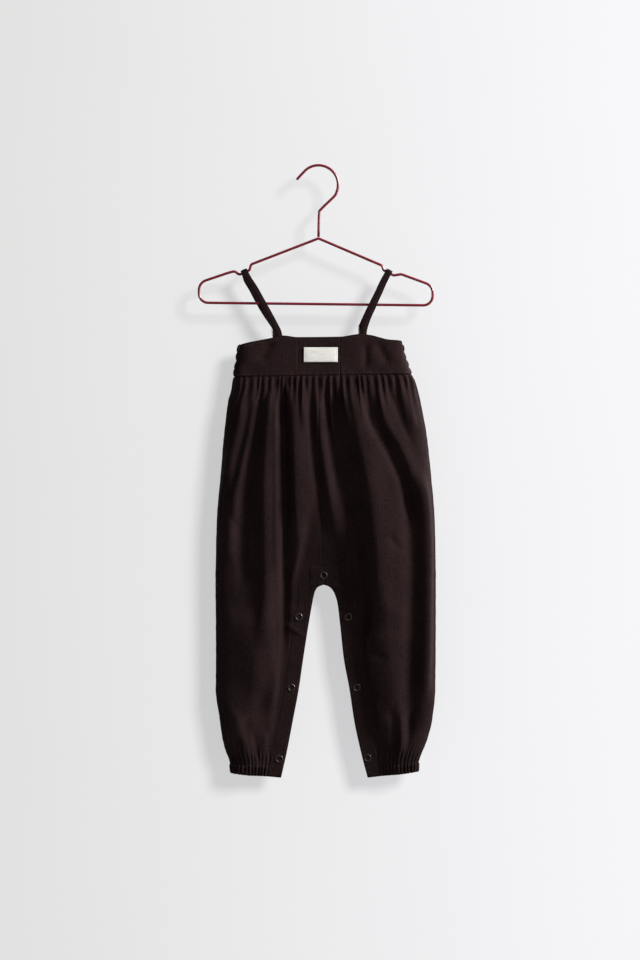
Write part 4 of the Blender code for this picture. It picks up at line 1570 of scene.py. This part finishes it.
@dataclass
class Strap:
    """A narrow folded tube of needlecord, edge-stitched, over the hanger and through its slider."""

    route: StrapRoute
    width: float = 8.6
    thick: float = 2.0
    thin: float = 1.2
    wall: float = 0.45
    wire: float = 1.7
    loop_steps: int = 8
    slider_wire: float = 0.5
    slider_pitch: float = 5.0
    slider_depth: float = 8.1
    slider_steps: int = 4
    slack: float = 0.2
    tail: float = 10.0
    turn_length: float = 28.0
    squareness: float = 0.55
    edge_line: float = 1.6
    edge_groove: float = 0.36
    groove_width: float = 0.6
    round_points: int = 44
    piece: Object | None = None
    cut_length: float = 0.0

    @property
    def name(self) -> str:
        """The node that the strap stands for."""
        return f"strap_{self.route.side.name.lower()}"

    def stations(self) -> Array:
        """Follows the strap from inside the front yoke to the back yoke.

        Returns:
            Rows of centre points, each with the thickness there.
        """
        rows = [(x, -y, z, self.thick) for x, z, y in reversed(self.route.front)]
        reach = self.wire + GAP + self.thick / 2 + self.slack
        across = np.array([1.0, self.route.lean]) / math.hypot(1.0, self.route.lean)
        up = np.array([-across[1], across[0]])
        for step in range(self.loop_steps + 1):
            turn = math.pi * step / self.loop_steps
            x, z = np.array(self.route.wire) + up * reach * math.sin(turn)
            rows.append((x, -reach * math.cos(turn), z, self.thick))
        rows += [(x, y, z, self.thick) for x, z, y in self.route.back]
        x, z = self.route.slider
        swing = self.slider_wire + GAP + self.thin / 2
        for step in range(-self.slider_steps, self.slider_steps + 1):
            share = step / self.slider_steps
            y = self.slider_depth + swing * math.cos(math.pi * share)
            rows.append((x, y, z - share * self.slider_pitch, self.thin))
        rows.append((x, self.slider_depth - swing, BACK_YOKE_TOP_Z - self.tail, self.thin))
        return smooth_route(rows, 4)

    def section(self, thick: float) -> Array:
        """Shapes the flattened tube, with a groove where each edge is stitched down.

        Args:
            thick: Thickness of the tube.

        Returns:
            Points round it.
        """
        turns = np.linspace(0.0, 2 * math.pi, self.round_points, endpoint=False)
        u, v = (
            np.sign(wave) * np.abs(wave) ** self.squareness * size / 2
            for wave, size in ((np.cos(turns), self.width), (np.sin(turns), thick))
        )
        from_line = np.abs(u) - (self.width / 2 - self.edge_line)
        v -= np.sign(v) * self.edge_groove * bump(from_line, self.groove_width)
        return np.stack([u, v], axis=1)

    def build(self, finish: Material) -> None:
        """Models the strap.

        Args:
            finish: The cloth.
        """
        rows = self.stations()
        centres = rows[:, :3]
        self.cut_length = float(np.linalg.norm(np.diff(centres, axis=0), axis=1).sum())
        runs = np.gradient(centres, axis=0)
        runs /= np.linalg.norm(runs, axis=1, keepdims=True)
        lean = np.array([1.0, 0.0, self.route.lean]) / math.hypot(1.0, self.route.lean)
        level = np.array([1.0, 0.0, 0.0])
        fall = ease(np.abs(centres[:, 0] - self.route.wire[0]) / self.turn_length)[:, None]
        across = lean + (level - lean) * fall
        across = across - runs * (across * runs).sum(axis=1, keepdims=True)
        across /= np.linalg.norm(across, axis=1, keepdims=True)
        through = np.cross(runs, across)
        sections = np.stack([self.section(float(thick)) for thick in rows[:, 3]])
        bm = swept(centres, across, through, sections, capped=False)
        self.piece = new_sheet(self.name + "_cord", bm, finish, self.wall)

    def dress(self) -> None:
        declare(self.piece, self.name)


@dataclass
class Label:
    """The woven label on the yoke's centre, its face left bare, sewn down at both short ends."""

    left: float = -18.9
    right: float = 24.6
    top: float = -233.4
    bottom: float = -252.4
    thick: float = 1.0
    clear: float = 0.55
    bow: float = 0.25
    end_line: float = 2.0
    line_groove: float = 0.3
    edge_groove: float = 0.35
    columns: int = 66
    rows: int = 30
    piece: Object | None = None

    def build(self, finish: Material) -> None:
        """Models the label.

        Args:
            finish: The label tape.
        """
        points = np.zeros((self.rows + 1, self.columns + 1, 3))
        xs = np.linspace(self.left, self.right, self.columns + 1)
        for number, z in enumerate(np.linspace(self.bottom, self.top, self.rows + 1)):
            rings = {side: HalfRing(side, float(z)) for side in Side}
            for column, x in enumerate(xs):
                ring = rings[Side.LEFT if x < 0 else Side.RIGHT]
                point, outward = ring.at(np.array([ring.arc_at_front(float(x))]))
                ends = min(x - self.left, self.right - x)
                sides = min(z - self.bottom, self.top - z)
                lift = GAP + self.thick + self.clear
                lift += self.bow * float(ease(ends / 8.0)) * float(ease(sides / 5.0))
                lift -= self.line_groove * float(bump(ends - self.end_line, 0.8))
                lift -= self.edge_groove * float(bump(min(ends, sides), 0.6))
                points[number, column, :2] = point[0] + outward[0] * lift
                points[number, column, 2] = z
        bm = grid_mesh(points, points[:, :, [0, 2]])
        self.piece = new_sheet("label_tape", bm, finish, self.thick)

    def dress(self) -> None:
        declare(self.piece, "label")


class Snap(NamedTuple):
    """A ring snap's name and place on the front."""

    name: str
    x: float
    z: float


SNAPS = (
    Snap("crotch", 6.8, -526.5),
    Snap("left_1", -25.4, -579.8),
    Snap("left_2", -35.0, -670.9),
    Snap("left_3", -50.6, -762.8),
    Snap("right_1", 38.4, -580.0),
    Snap("right_2", 49.6, -670.9),
    Snap("right_3", 63.0, -761.3),
)


def patch_relief(face: Face, snap: Snap) -> float:
    """How far the patches lift a snap, in millimetres."""
    x, z = np.array([snap.x]), np.array([snap.z])
    return sum(float(patch.relief(x, z)[0]) for patch in PATCHES if patch.face is face)


@dataclass
class RingSnap:
    """One ring of a prong snap: a rounded ring with five prong seats pressed into it."""

    snap: Snap
    face: Face
    outer: float = 5.0
    inner: float = 3.2
    high: float = 1.0
    sink: float = 0.25
    profile_points: int = 8
    steps: int = 40
    prongs: int = 5
    seat_depth: float = 0.12
    piece: Object | None = None

    @property
    def name(self) -> str:
        """The node that the ring stands for."""
        return f"snap_{self.snap.name}_{self.face.name.lower()}"

    def build(self, finish: Material) -> None:
        """Models the ring by spinning its rounded profile.

        Args:
            finish: The plated metal.
        """
        bm = bmesh.new()
        bmesh.ops.create_circle(bm, cap_ends=False, segments=self.profile_points * 2, radius=1.0)
        middle = (self.outer + self.inner) / 2
        half = (self.outer - self.inner) / 2
        for vert in bm.verts:
            along, up = vert.co.x, vert.co.y
            bulge = math.copysign(abs(up) ** 0.8, up) * self.high / 2
            vert.co = ((middle + half * along) * MM, 0.0, (self.high / 2 + bulge) * MM)
        bmesh.ops.spin(
            bm, geom=bm.verts[:] + bm.edges[:], cent=(0, 0, 0), axis=(0, 0, 1),
            angle=2 * math.pi, steps=self.steps, use_merge=True, use_duplicate=False,
        )
        bmesh.ops.remove_doubles(bm, verts=bm.verts, dist=0.000005)
        for vert in bm.verts:
            angle = math.atan2(vert.co.y, vert.co.x)
            seat = max(math.cos(self.prongs * angle), 0.0) ** 6
            vert.co.z -= self.seat_depth * MM * seat * float(ease(vert.co.z / (self.high * MM)))
        base = self.face.value * (LAP + GAP - self.sink + patch_relief(self.face, self.snap))
        for vert in bm.verts:
            x, y, z = vert.co
            vert.co = (self.snap.x * MM + x, base * MM + self.face.value * z, self.snap.z * MM + y)
        bmesh.ops.recalc_face_normals(bm, faces=bm.faces)
        for cell in bm.faces:
            cell.smooth = True
        self.piece = new_object(self.name + "_ring", bm, finish)

    def dress(self) -> None:
        """Rides the ring with the romper in place of its solid."""
        declare(self.piece, self.name)


class Bend(NamedTuple):
    """A corner of the hanger's wire and the radius it is bent to."""

    x: float
    z: float
    radius: float


FRAME_BENDS = (
    Bend(0.0, -92.5, 3.0),
    Bend(-86.8, -126.0, 4.0),
    Bend(-88.9, -133.4, 3.0),
    Bend(-102.0, -139.4, 4.0),
    Bend(-108.0, -134.6, 6.0),
    Bend(-118.0, -137.4, 8.0),
    Bend(-154.0, -149.6, 13.0),
    Bend(-154.0, -175.3, 12.0),
    Bend(147.0, -178.8, 12.0),
    Bend(147.0, -153.4, 13.0),
    Bend(106.6, -138.6, 8.0),
    Bend(96.9, -140.2, 4.0),
    Bend(83.9, -133.4, 3.0),
    Bend(81.8, -127.4, 4.0),
)


@dataclass
class Hanger:
    """The lacquered wire hanger: a closed frame, and the hook whose neck stands on its peak."""

    wire: float = 1.7
    hook_radius: float = 25.1
    hook_tip: tuple[float, float] = (-28.3, -17.0)
    hook_arc: tuple[float, float] = (140.0, -38.0)
    neck_bend: tuple[float, float] = (0.8, -58.0)
    neck_in: tuple[float, float] = (2.6, 3.2)
    neck_out: tuple[float, float] = (0.0, -3.0)
    peak: float = -92.5
    arc_steps: int = 12
    bend_steps: int = 8
    round_points: int = 16
    tip_steps: int = 5
    pieces: list[Object] = field(default_factory=list)

    def frame_points(self) -> Array:
        """Bends the closed frame's corners to their radii.

        Returns:
            Points along the wire's centre line.
        """
        points = []
        count = len(FRAME_BENDS)
        for index, bend in enumerate(FRAME_BENDS):
            corner = Vector((bend.x, bend.z))
            before = (Vector(FRAME_BENDS[index - 1][:2]) - corner).normalized()
            after = (Vector(FRAME_BENDS[(index + 1) % count][:2]) - corner).normalized()
            angle = before.angle(after)
            reach = bend.radius / math.tan(angle / 2)
            centre = corner + (before + after).normalized() * bend.radius / math.sin(angle / 2)
            start = (corner + before * reach - centre).normalized()
            end = (corner + after * reach - centre).normalized()
            for step in range(self.bend_steps + 1):
                arm = start.slerp(end, step / self.bend_steps) * bend.radius
                points.append((centre.x + arm.x, 0.0, centre.y + arm.y))
        return np.array(points)

    def hook_points(self) -> Array:
        """Follows the hook from its tip over the top and down the neck.

        Returns:
            Points along the wire's centre line.
        """
        centre_z = self.wire - self.hook_radius
        start, end = (math.radians(angle) for angle in self.hook_arc)
        rows = [(self.hook_tip[0], 0.0, self.hook_tip[1])]
        for step in range(self.arc_steps + 1):
            angle = start + (end - start) * step / self.arc_steps
            rows.append((
                self.hook_radius * math.cos(angle), 0.0, centre_z + self.hook_radius * math.sin(angle),
            ))
        for along, up in (self.neck_in, self.neck_out):
            rows.append((self.neck_bend[0] + along, 0.0, self.neck_bend[1] + up))
        rows.append((0.0, 0.0, self.peak + self.wire + GAP))
        return smooth_route(rows, 4)

    def _wire(self, name: str, centres: Array, finish: Material, closed: bool) -> None:
        """Models a round wire in the hanger's plane.

        Args:
            name: Name of its object.
            centres: Points of its centre line.
            finish: The lacquer.
            closed: Whether it runs back into itself.
        """
        if closed:
            runs = np.roll(centres, -1, axis=0) - np.roll(centres, 1, axis=0)
        else:
            runs = np.gradient(centres, axis=0)
        runs /= np.linalg.norm(runs, axis=1, keepdims=True)
        through = np.broadcast_to(np.array([0.0, 1.0, 0.0]), centres.shape)
        across = np.cross(through, runs)
        turns = np.linspace(0.0, 2 * math.pi, self.round_points, endpoint=False)
        ring = np.stack([np.cos(turns), np.sin(turns)], axis=1) * self.wire
        sections = np.broadcast_to(ring, (len(centres), *ring.shape)).copy()
        if not closed:
            tip = np.linalg.norm(centres - centres[0], axis=1)
            sections *= np.sqrt(1 - np.clip(1 - tip / self.wire, 0.0, 0.96) ** 2)[:, None, None]
        bm = swept(centres, across, through, sections, closed)
        self.pieces.append(new_object(name, bm, finish))

    def build(self, finish: Material) -> None:
        """Models the frame and the hook.

        Args:
            finish: The lacquer.
        """
        self._wire("hanger_frame_wire", self.frame_points(), finish, True)
        hook = self.hook_points()
        lead = hook[1] - hook[0]
        lead /= np.linalg.norm(lead)
        shares = np.linspace(0.0, 1.0, self.tip_steps, endpoint=False)[:, None]
        tip = hook[0] + lead * self.wire * (1 - np.cos(shares * math.pi / 2))
        beyond = np.linalg.norm(hook - hook[0], axis=1) > self.wire
        self._wire("hanger_hook_wire", np.concatenate([tip, hook[beyond]]), finish, False)

    def dress(self) -> None:
        """Rides the wires with the romper in place of their solids."""
        for piece, node in zip(self.pieces, ("hanger_frame", "hanger_hook")):
            declare(piece, node)


@dataclass
class Seamstress:
    """Sews rows of stitches onto the cloth that shows."""

    grids: dict[Face, list[Array]]
    length: float = 2.3
    pitch: float = 3.1
    thread: float = 0.2
    first: float = 0.3
    shortest: float = 0.5
    proud: float = 0.4
    sheets: dict[Face, BVHTree] = field(default_factory=dict)
    seams: dict[str, Mesh] = field(default_factory=dict)
    count: int = 0

    def lay_out(self) -> None:
        """Makes the surfaces that the stitches are sewn to."""
        for face, grids in self.grids.items():
            corners: list[tuple[float, float, float]] = []
            cells: list[tuple[int, ...]] = []
            for grid in grids:
                start = len(corners)
                columns = grid.shape[1]
                corners.extend(map(tuple, grid.reshape(-1, 3)))
                for row in range(grid.shape[0] - 1):
                    for column in range(columns - 1):
                        at = start + row * columns + column
                        cells.append((at, at + 1, at + columns + 1, at + columns))
            self.sheets[face] = BVHTree.FromPolygons(corners, cells)

    def on_cloth(self, face: Face, x: float, z: float) -> tuple[Vector, Vector] | None:
        """Finds the cloth that is seen from one side.

        Args:
            face: Face of the garment.
            x: Place across.
            z: Height.

        Returns:
            The place on the cloth and its outward direction, or nothing beside the cloth.
        """
        start = Vector((x, face.value * 200.0, z))
        hit, normal, _, _ = self.sheets[face].ray_cast(start, Vector((0.0, -face.value, 0.0)))
        if hit is None:
            return None
        if normal.y * face.value < 0:
            normal = -normal
        return hit, normal

    def sew(self, seam: str, face: Face, path: Sequence[tuple[float, float]]) -> None:
        """Sews one row of stitches.

        Args:
            seam: Name of the thread's piece that the row joins.
            face: Face of the garment.
            path: Places that the row passes, as x and z.
        """
        if seam not in self.seams:
            self.seams[seam] = bmesh.new()
        bm = self.seams[seam]
        route = smooth_route(path, 8)
        steps = np.linalg.norm(np.diff(route, axis=0), axis=1)
        way = np.concatenate([[0.0], np.cumsum(steps)])
        for start in np.arange(self.first, way[-1] - self.length, self.pitch):
            ends = []
            for along in (start, start + self.length):
                x = float(np.interp(along, way, route[:, 0]))
                z = float(np.interp(along, way, route[:, 1]))
                ends.append(self.on_cloth(face, x, z))
            if None in ends:
                continue
            (first, up), (last, _) = ends
            self._stitch(bm, first, last, up)

    def _stitch(self, bm: Mesh, first: Vector, last: Vector, up: Vector) -> None:
        """Adds one stitch between two places on the cloth.

        Args:
            bm: The thread's shape.
            first: One end.
            last: The other end.
            up: Outward direction of the cloth.
        """
        run = last - first
        size = run.length
        if not self.shortest <= size <= 2 * self.length:
            return
        run.normalize()
        aside = up.cross(run).normalized()
        up = run.cross(aside)
        middle = (first + last) / 2 + up * self.thread * self.proud
        made = bmesh.ops.create_icosphere(bm, subdivisions=1, radius=1.0)
        for vert in made["verts"]:
            x, y, z = vert.co
            place = middle + run * (x * size / 2) + aside * (y * self.thread) + up * (z * self.thread)
            vert.co = place * MM
        self.count += 1

    def finish(self, finish: Material) -> None:
        """Turns the rows into pieces that ride with the romper.

        Args:
            finish: The thread.
        """
        for seam, bm in self.seams.items():
            for cell in bm.faces:
                cell.smooth = True
            declare(new_object(f"stitches_{seam}", bm, finish))


def inner_line(side: Side, inward: float, heights: Sequence[float]) -> list[tuple[float, float]]:
    """Places at a distance in from a half's inner edge, going down."""
    name = side.name.lower()
    return [(level_value(INNER_EDGES, z, name) + side.value * inward, z) for z in heights]


def outer_line(side: Side, inward: float, heights: Sequence[float]) -> list[tuple[float, float]]:
    """Places at a distance in from the outline, going down."""
    name = side.name.lower()
    return [(level_value(LEVELS, z, name) - side.value * inward, z) for z in heights]


# Places of the rows of stitches on the snap patch and on the flap by the left leg's first snap
PATCH_ROW = ((-9.7, -541.5), (-9.7, -515.7), (23.8, -515.7), (23.8, -541.5))
FLAP_ROW = ((-17.5, -567.0), (-39.9, -567.0), (-39.9, -589.0), (-12.8, -589.0))

# Heights that the rows along a leg's snapped edge pass
LEG_ROWS = (-548.0, -556.0, -566.0, -590.0, -632.0, -673.0, -714.0, -755.0, -784.0)

# The row down a side, and the row above a leg's casing
SIDE_ROW_TOP = -275.0
SIDE_ROW_FOOT = -764.0
CASING_END = 4.0
CASING_RISE_SHARE = 0.75
ROW_POINTS = 20


@dataclass
class Romper:
    """The whole garment: panels, yokes, straps, label, snaps and stitches."""

    finishes: Finishes
    panels: list[LegPanel] = field(default_factory=list)
    front_yoke: FrontYoke | None = None
    back_yoke: BackYoke | None = None

    def build(self) -> None:
        """Models and dresses every piece of the garment."""
        gathers = {
            side: Gathers(14, 1.6, 64.0, 38.0, seed) for side, seed in zip(Side, (71, 81))
        }
        cloth = self.finishes.cord
        for face in Face:
            for side in Side:
                front = face is Face.FRONT
                panel = LegPanel(
                    side,
                    face,
                    columns=150 if front else 120,
                    gathers=gathers[side] if front else Gathers(15, 2.0, 66.0, 34.0, 91 + side.value),
                    cuff=Gathers(15, 1.6, 34.0, 20.0, 61 + side.value + 4 * face.value),
                )
                panel.build(cloth)
                panel.dress()
                self.panels.append(panel)
        self.front_yoke = FrontYoke(gathers)
        self.back_yoke = BackYoke()
        straps = [Strap(route) for route in STRAP_ROUTES]
        for part in (self.front_yoke, self.back_yoke, *straps):
            part.build(cloth)
            part.dress()
        for strap in straps:
            log.info("%s: %.0f mm long", strap.piece.name, strap.cut_length)
        label = Label()
        label.build(self.finishes.label)
        label.dress()
        for snap in SNAPS:
            for face in Face:
                ring = RingSnap(snap, face)
                ring.build(self.finishes.bronze)
                ring.dress()

    def sew(self) -> None:
        """Sews every row of stitches that shows."""
        front, back = ([panel.points for panel in self.panels if panel.face is face] for face in Face)
        hand = Seamstress({
            Face.FRONT: front + self.front_yoke.grids,
            Face.BACK: [*back, self.back_yoke.points],
        })
        hand.lay_out()
        self._sew_yokes(hand)
        for face in Face:
            for side in Side:
                self._sew_leg(hand, face, side)
            centre = inner_line(Side.LEFT, HALVES_LINE, np.linspace(-274.0, -514.0, 10))
            hand.sew("centre", face, centre)
        for start, end in zip(PATCH_ROW, PATCH_ROW[1:]):
            for face in Face:
                hand.sew("crotch", face, [start, end])
        for start, end in zip(FLAP_ROW, FLAP_ROW[1:]):
            hand.sew("crotch", Face.FRONT, [start, end])
        hand.finish(self.finishes.thread)
        log.info("%d stitches", hand.count)

    def _sew_yokes(self, hand: Seamstress) -> None:
        """Sews the rows of both yokes: along the edges and seams, and between the back's channels.

        Args:
            hand: Who sews.
        """
        across = np.linspace(-99.0, 107.0, 30)
        hand.sew("yoke_top", Face.FRONT, [(x, float(yoke_top_z(x)) - TOP_LINE) for x in across])
        across = np.linspace(-105.0, 116.0, 24)
        hand.sew("yoke_seam", Face.FRONT, [(x, float(seam_z(x)) + SEAM_LINE) for x in across])
        for seam in YOKE_CENTRE:
            x = seam + math.copysign(CENTRE_LINE, seam)
            hand.sew("yoke_seam", Face.FRONT, [(x, z) for z in (-223.0, -245.0, -266.0)])
        for channel in range(self.back_yoke.channels + 1):
            up = channel / self.back_yoke.channels
            row = []
            for x in np.linspace(-98.0, 106.0, 40):
                foot = float(seam_z(x)) + BACK_FOOT_LINE
                top = float(back_top_z(x)) - BACK_TOP_LINE
                row.append((x, foot + (top - foot) * up))
            hand.sew("back_yoke", Face.BACK, row)

    def _sew_leg(self, hand: Seamstress, face: Face, side: Side) -> None:
        """Sews one face of a leg: along the snapped edge, above the casing and down the side.

        Args:
            hand: Who sews.
            face: The face.
            side: The leg.
        """
        seam = f"leg_{side.name.lower()}"
        hand.sew(seam, face, inner_line(side, BAND_LINE, LEG_ROWS[2:]))
        hand.sew(seam, face, inner_line(side, LEG_EDGE_LINE, LEG_ROWS))
        inner = inner_line(side, CASING_END, [CASING_Z])[0][0]
        outer = outer_line(side, CASING_END, [CASING_Z])[0][0]
        row = []
        for share in np.linspace(0.0, 1.0, ROW_POINTS):
            rise = HEM_RISE[side] * (1 - share) * CASING_RISE_SHARE
            row.append((outer + (inner - outer) * share, CASING_Z + rise))
        hand.sew(seam, face, row)
        heights = np.linspace(SIDE_ROW_TOP, SIDE_ROW_FOOT, ROW_POINTS)
        hand.sew(seam, face, outer_line(side, SIDE_LINE[face], heights))


class Lamp(NamedTuple):
    """A soft square light: its name, place and side in metres, power in watts and colour."""

    name: str
    place: tuple[float, float, float]
    size: float
    power: float
    colour: str


# The window lights from the upper right. The others give the soft room round it
LAMPS = (
    Lamp("window", (2.3, -0.84, 1.0), 0.9, 160.0, "#fffcfa"),
    Lamp("window glow", (1.3, -2.4, 0.6), 1.2, 10.0, "#ffffff"),
    Lamp("room", (-1.6, -2.6, 0.1), 2.2, 1.6, "#f4f8ff"),
    Lamp("behind", (2.0, 1.35, 0.9), 1.2, 120.0, "#ffffff"),
    Lamp("behind glow", (-1.4, 2.4, 0.3), 1.6, 18.0, "#ffffff"),
)
WALL_WASH = Lamp("wall wash", (3.0, -5.0, 1.9), 1.5, 350.0, "#ffffff")


@dataclass
class Studio:
    """The camera, the soft lights, and the pale wall and floor."""

    millimetres_per_pixel: float = 1.288
    picture: tuple[int, int] = (640, 960)
    origin_pixel: tuple[float, float] = (318.5, 166.6)
    lens: float = 85.0
    sensor: float = 36.0
    wall_y: float = 0.042
    floor_z: float = -1.3
    half_size: float = 4.0
    garment_middle: tuple[float, float, float] = (0.0, 0.0, -0.45)

    def camera(self) -> None:
        """Places the camera straight on, at the photograph's distance and framing."""
        data = bpy.data.cameras.new("camera")
        data.lens = self.lens
        data.sensor_width = self.sensor
        scale = self.millimetres_per_pixel * MM
        height = self.picture[1] * scale
        x = (self.picture[0] / 2 - self.origin_pixel[0]) * scale
        z = -(self.picture[1] / 2 - self.origin_pixel[1]) * scale
        made = bpy.data.objects.new("camera", data)
        made.location = (x, -height * self.lens / self.sensor, z)
        made.rotation_euler = (math.pi / 2, 0.0, 0.0)
        bpy.context.scene.collection.objects.link(made)
        bpy.context.scene.camera = made

    def _light(self, lamp: Lamp) -> Object:
        """Adds a light that faces the garment.

        Args:
            lamp: What the light is like.

        Returns:
            The light.
        """
        data = bpy.data.lights.new(lamp.name, "AREA")
        data.shape = "SQUARE"
        data.size = lamp.size
        data.energy = lamp.power
        data.color = linear(lamp.colour)[:3]
        made = bpy.data.objects.new(lamp.name, data)
        made.location = lamp.place
        aim = Vector(self.garment_middle) - Vector(lamp.place)
        made.rotation_euler = aim.to_track_quat("-Z", "Y").to_euler()
        bpy.context.scene.collection.objects.link(made)
        return made

    def lights(self) -> list[Object]:
        """Lights the garment and sets the room's tone.

        Returns:
            The lights.
        """
        world = bpy.data.worlds.new("pale room")
        world.use_nodes = True
        sky = world.node_tree.nodes["Background"]
        seen = add_node(world.node_tree, "LightPath")
        strength = add_node(world.node_tree, "MapRange", {
            "Value": seen.outputs["Is Camera Ray"], "To Min": 0.09, "To Max": 0.8,
        })
        feed(world.node_tree, sky, {"Color": linear("#f2f2f4"), "Strength": strength})
        bpy.context.scene.world = world
        return [self._light(lamp) for lamp in LAMPS]

    def _plane(self, name: str, centre: tuple[float, float, float], upright: bool,
               finish: Material) -> Object:
        """Adds a large square that is part of the stage.

        Args:
            name: Name of the object.
            centre: Its middle.
            upright: Whether it stands, facing the camera, or lies.
            finish: Its material.

        Returns:
            The object.
        """
        bm = bmesh.new()
        bmesh.ops.create_grid(bm, x_segments=2, y_segments=2, size=self.half_size)
        for vert in bm.verts:
            x, y, _ = vert.co
            vert.co = Vector((x, 0.0, y) if upright else (x, y, 0.0)) + Vector(centre)
        made = new_object(name, bm, finish)
        return made

    def stage(self, lights: Sequence[Object]) -> None:
        """Adds the wall, which is seen from its front alone and glows with painted light that grows
        lighter towards the right, and the floor.

        Args:
            lights: The garment's lights, which are kept off both.
        """
        # Painted light: the wall glows by emission, graded from darker on the left to lighter on the
        # right as if lit by the window, with roller noise making the grading uneven
        glowing_wall, tree, shader = Finish("matt wall paint, rolled", "#969696", 0.95).start()
        place = add_node(tree, "TexCoord").outputs["Object"]
        axes = add_node(tree, "SeparateXYZ", {0: place})
        roller = add_node(tree, "TexNoise", {"Vector": place, "Scale": 3.0, "Detail": 3.0})
        uneven = add_node(tree, "Math", {0: roller, 1: 0.12}, operation="MULTIPLY")
        across = add_node(tree, "Math", {0: axes, 1: uneven}, operation="ADD")
        share = add_node(tree, "MapRange", {"Value": across, "From Min": -0.36, "From Max": 0.46})
        tone = add_node(tree, "ValToRGB", {0: share}, ((0.0, "#b7b7b6"), (1.0, "#cccccf")))
        feed(tree, shader, {"Emission Color": tone, "Emission Strength": 1.0})
        behind = add_node(tree, "NewGeometry").outputs["Backfacing"]
        clear = add_node(tree, "BsdfTransparent")
        both = add_node(tree, "MixShader", {0: behind, 1: shader, 2: clear})
        feed(tree, tree.nodes["Material Output"], {"Surface": both})
        wall = self._plane("wall", (0.0, self.wall_y, 0.0), True, glowing_wall)
        wall.visible_shadow = False
        wall.visible_diffuse = False
        wall.visible_glossy = False
        boards, tree, shader = Finish("matt floor paint, rolled", "#c4c5c6", 0.85).start()
        feed(tree, shader, {"Emission Color": linear("#c6c7c9"), "Emission Strength": 1.0})
        floor = self._plane("floor", (0.0, 0.0, self.floor_z), False, boards)
        floor.visible_glossy = False
        self._light_stage(wall, floor, lights)

    def _light_stage(self, wall: Object, floor: Object,
                     lights: Sequence[Object]) -> None:
        """Keeps the garment's lights off the stage, and gives the wall a light for the soft shadow.

        Args:
            wall: The wall.
            floor: The floor.
            lights: The garment's lights.
        """
        wash = self._light(WALL_WASH)
        wash.light_linking.receiver_collection = bpy.data.collections.new("lit by the wash")
        wash.light_linking.receiver_collection.objects.link(wall)
        apart = bpy.data.collections.new("not lit by the window")
        for part in (wall, floor):
            apart.objects.link(part)
        for member in apart.collection_objects:
            member.light_linking.link_state = "EXCLUDE"
        for light in lights:
            light.light_linking.receiver_collection = apart

    def build(self) -> None:
        """Sets up the whole studio."""
        bpy.context.scene.view_settings.view_transform = "Standard"
        self.camera()
        self.stage(self.lights())


def main() -> None:
    """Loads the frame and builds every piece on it."""
    logging.basicConfig(level=logging.INFO, format="%(message)s")
    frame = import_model()
    log.info("%d nodes in the frame", len(frame["nodes"]))
    finishes = Finishes.make()
    Studio().build()
    romper = Romper(finishes)
    romper.build()
    hanger = Hanger()
    hanger.build(finishes.lacquer)
    hanger.dress()
    for node in ("slider_left", "slider_right"):
        for slot in frame["nodes"][node].material_slots:
            slot.material = finishes.steel
    romper.sew()


if __name__ == "__main__":
    main()
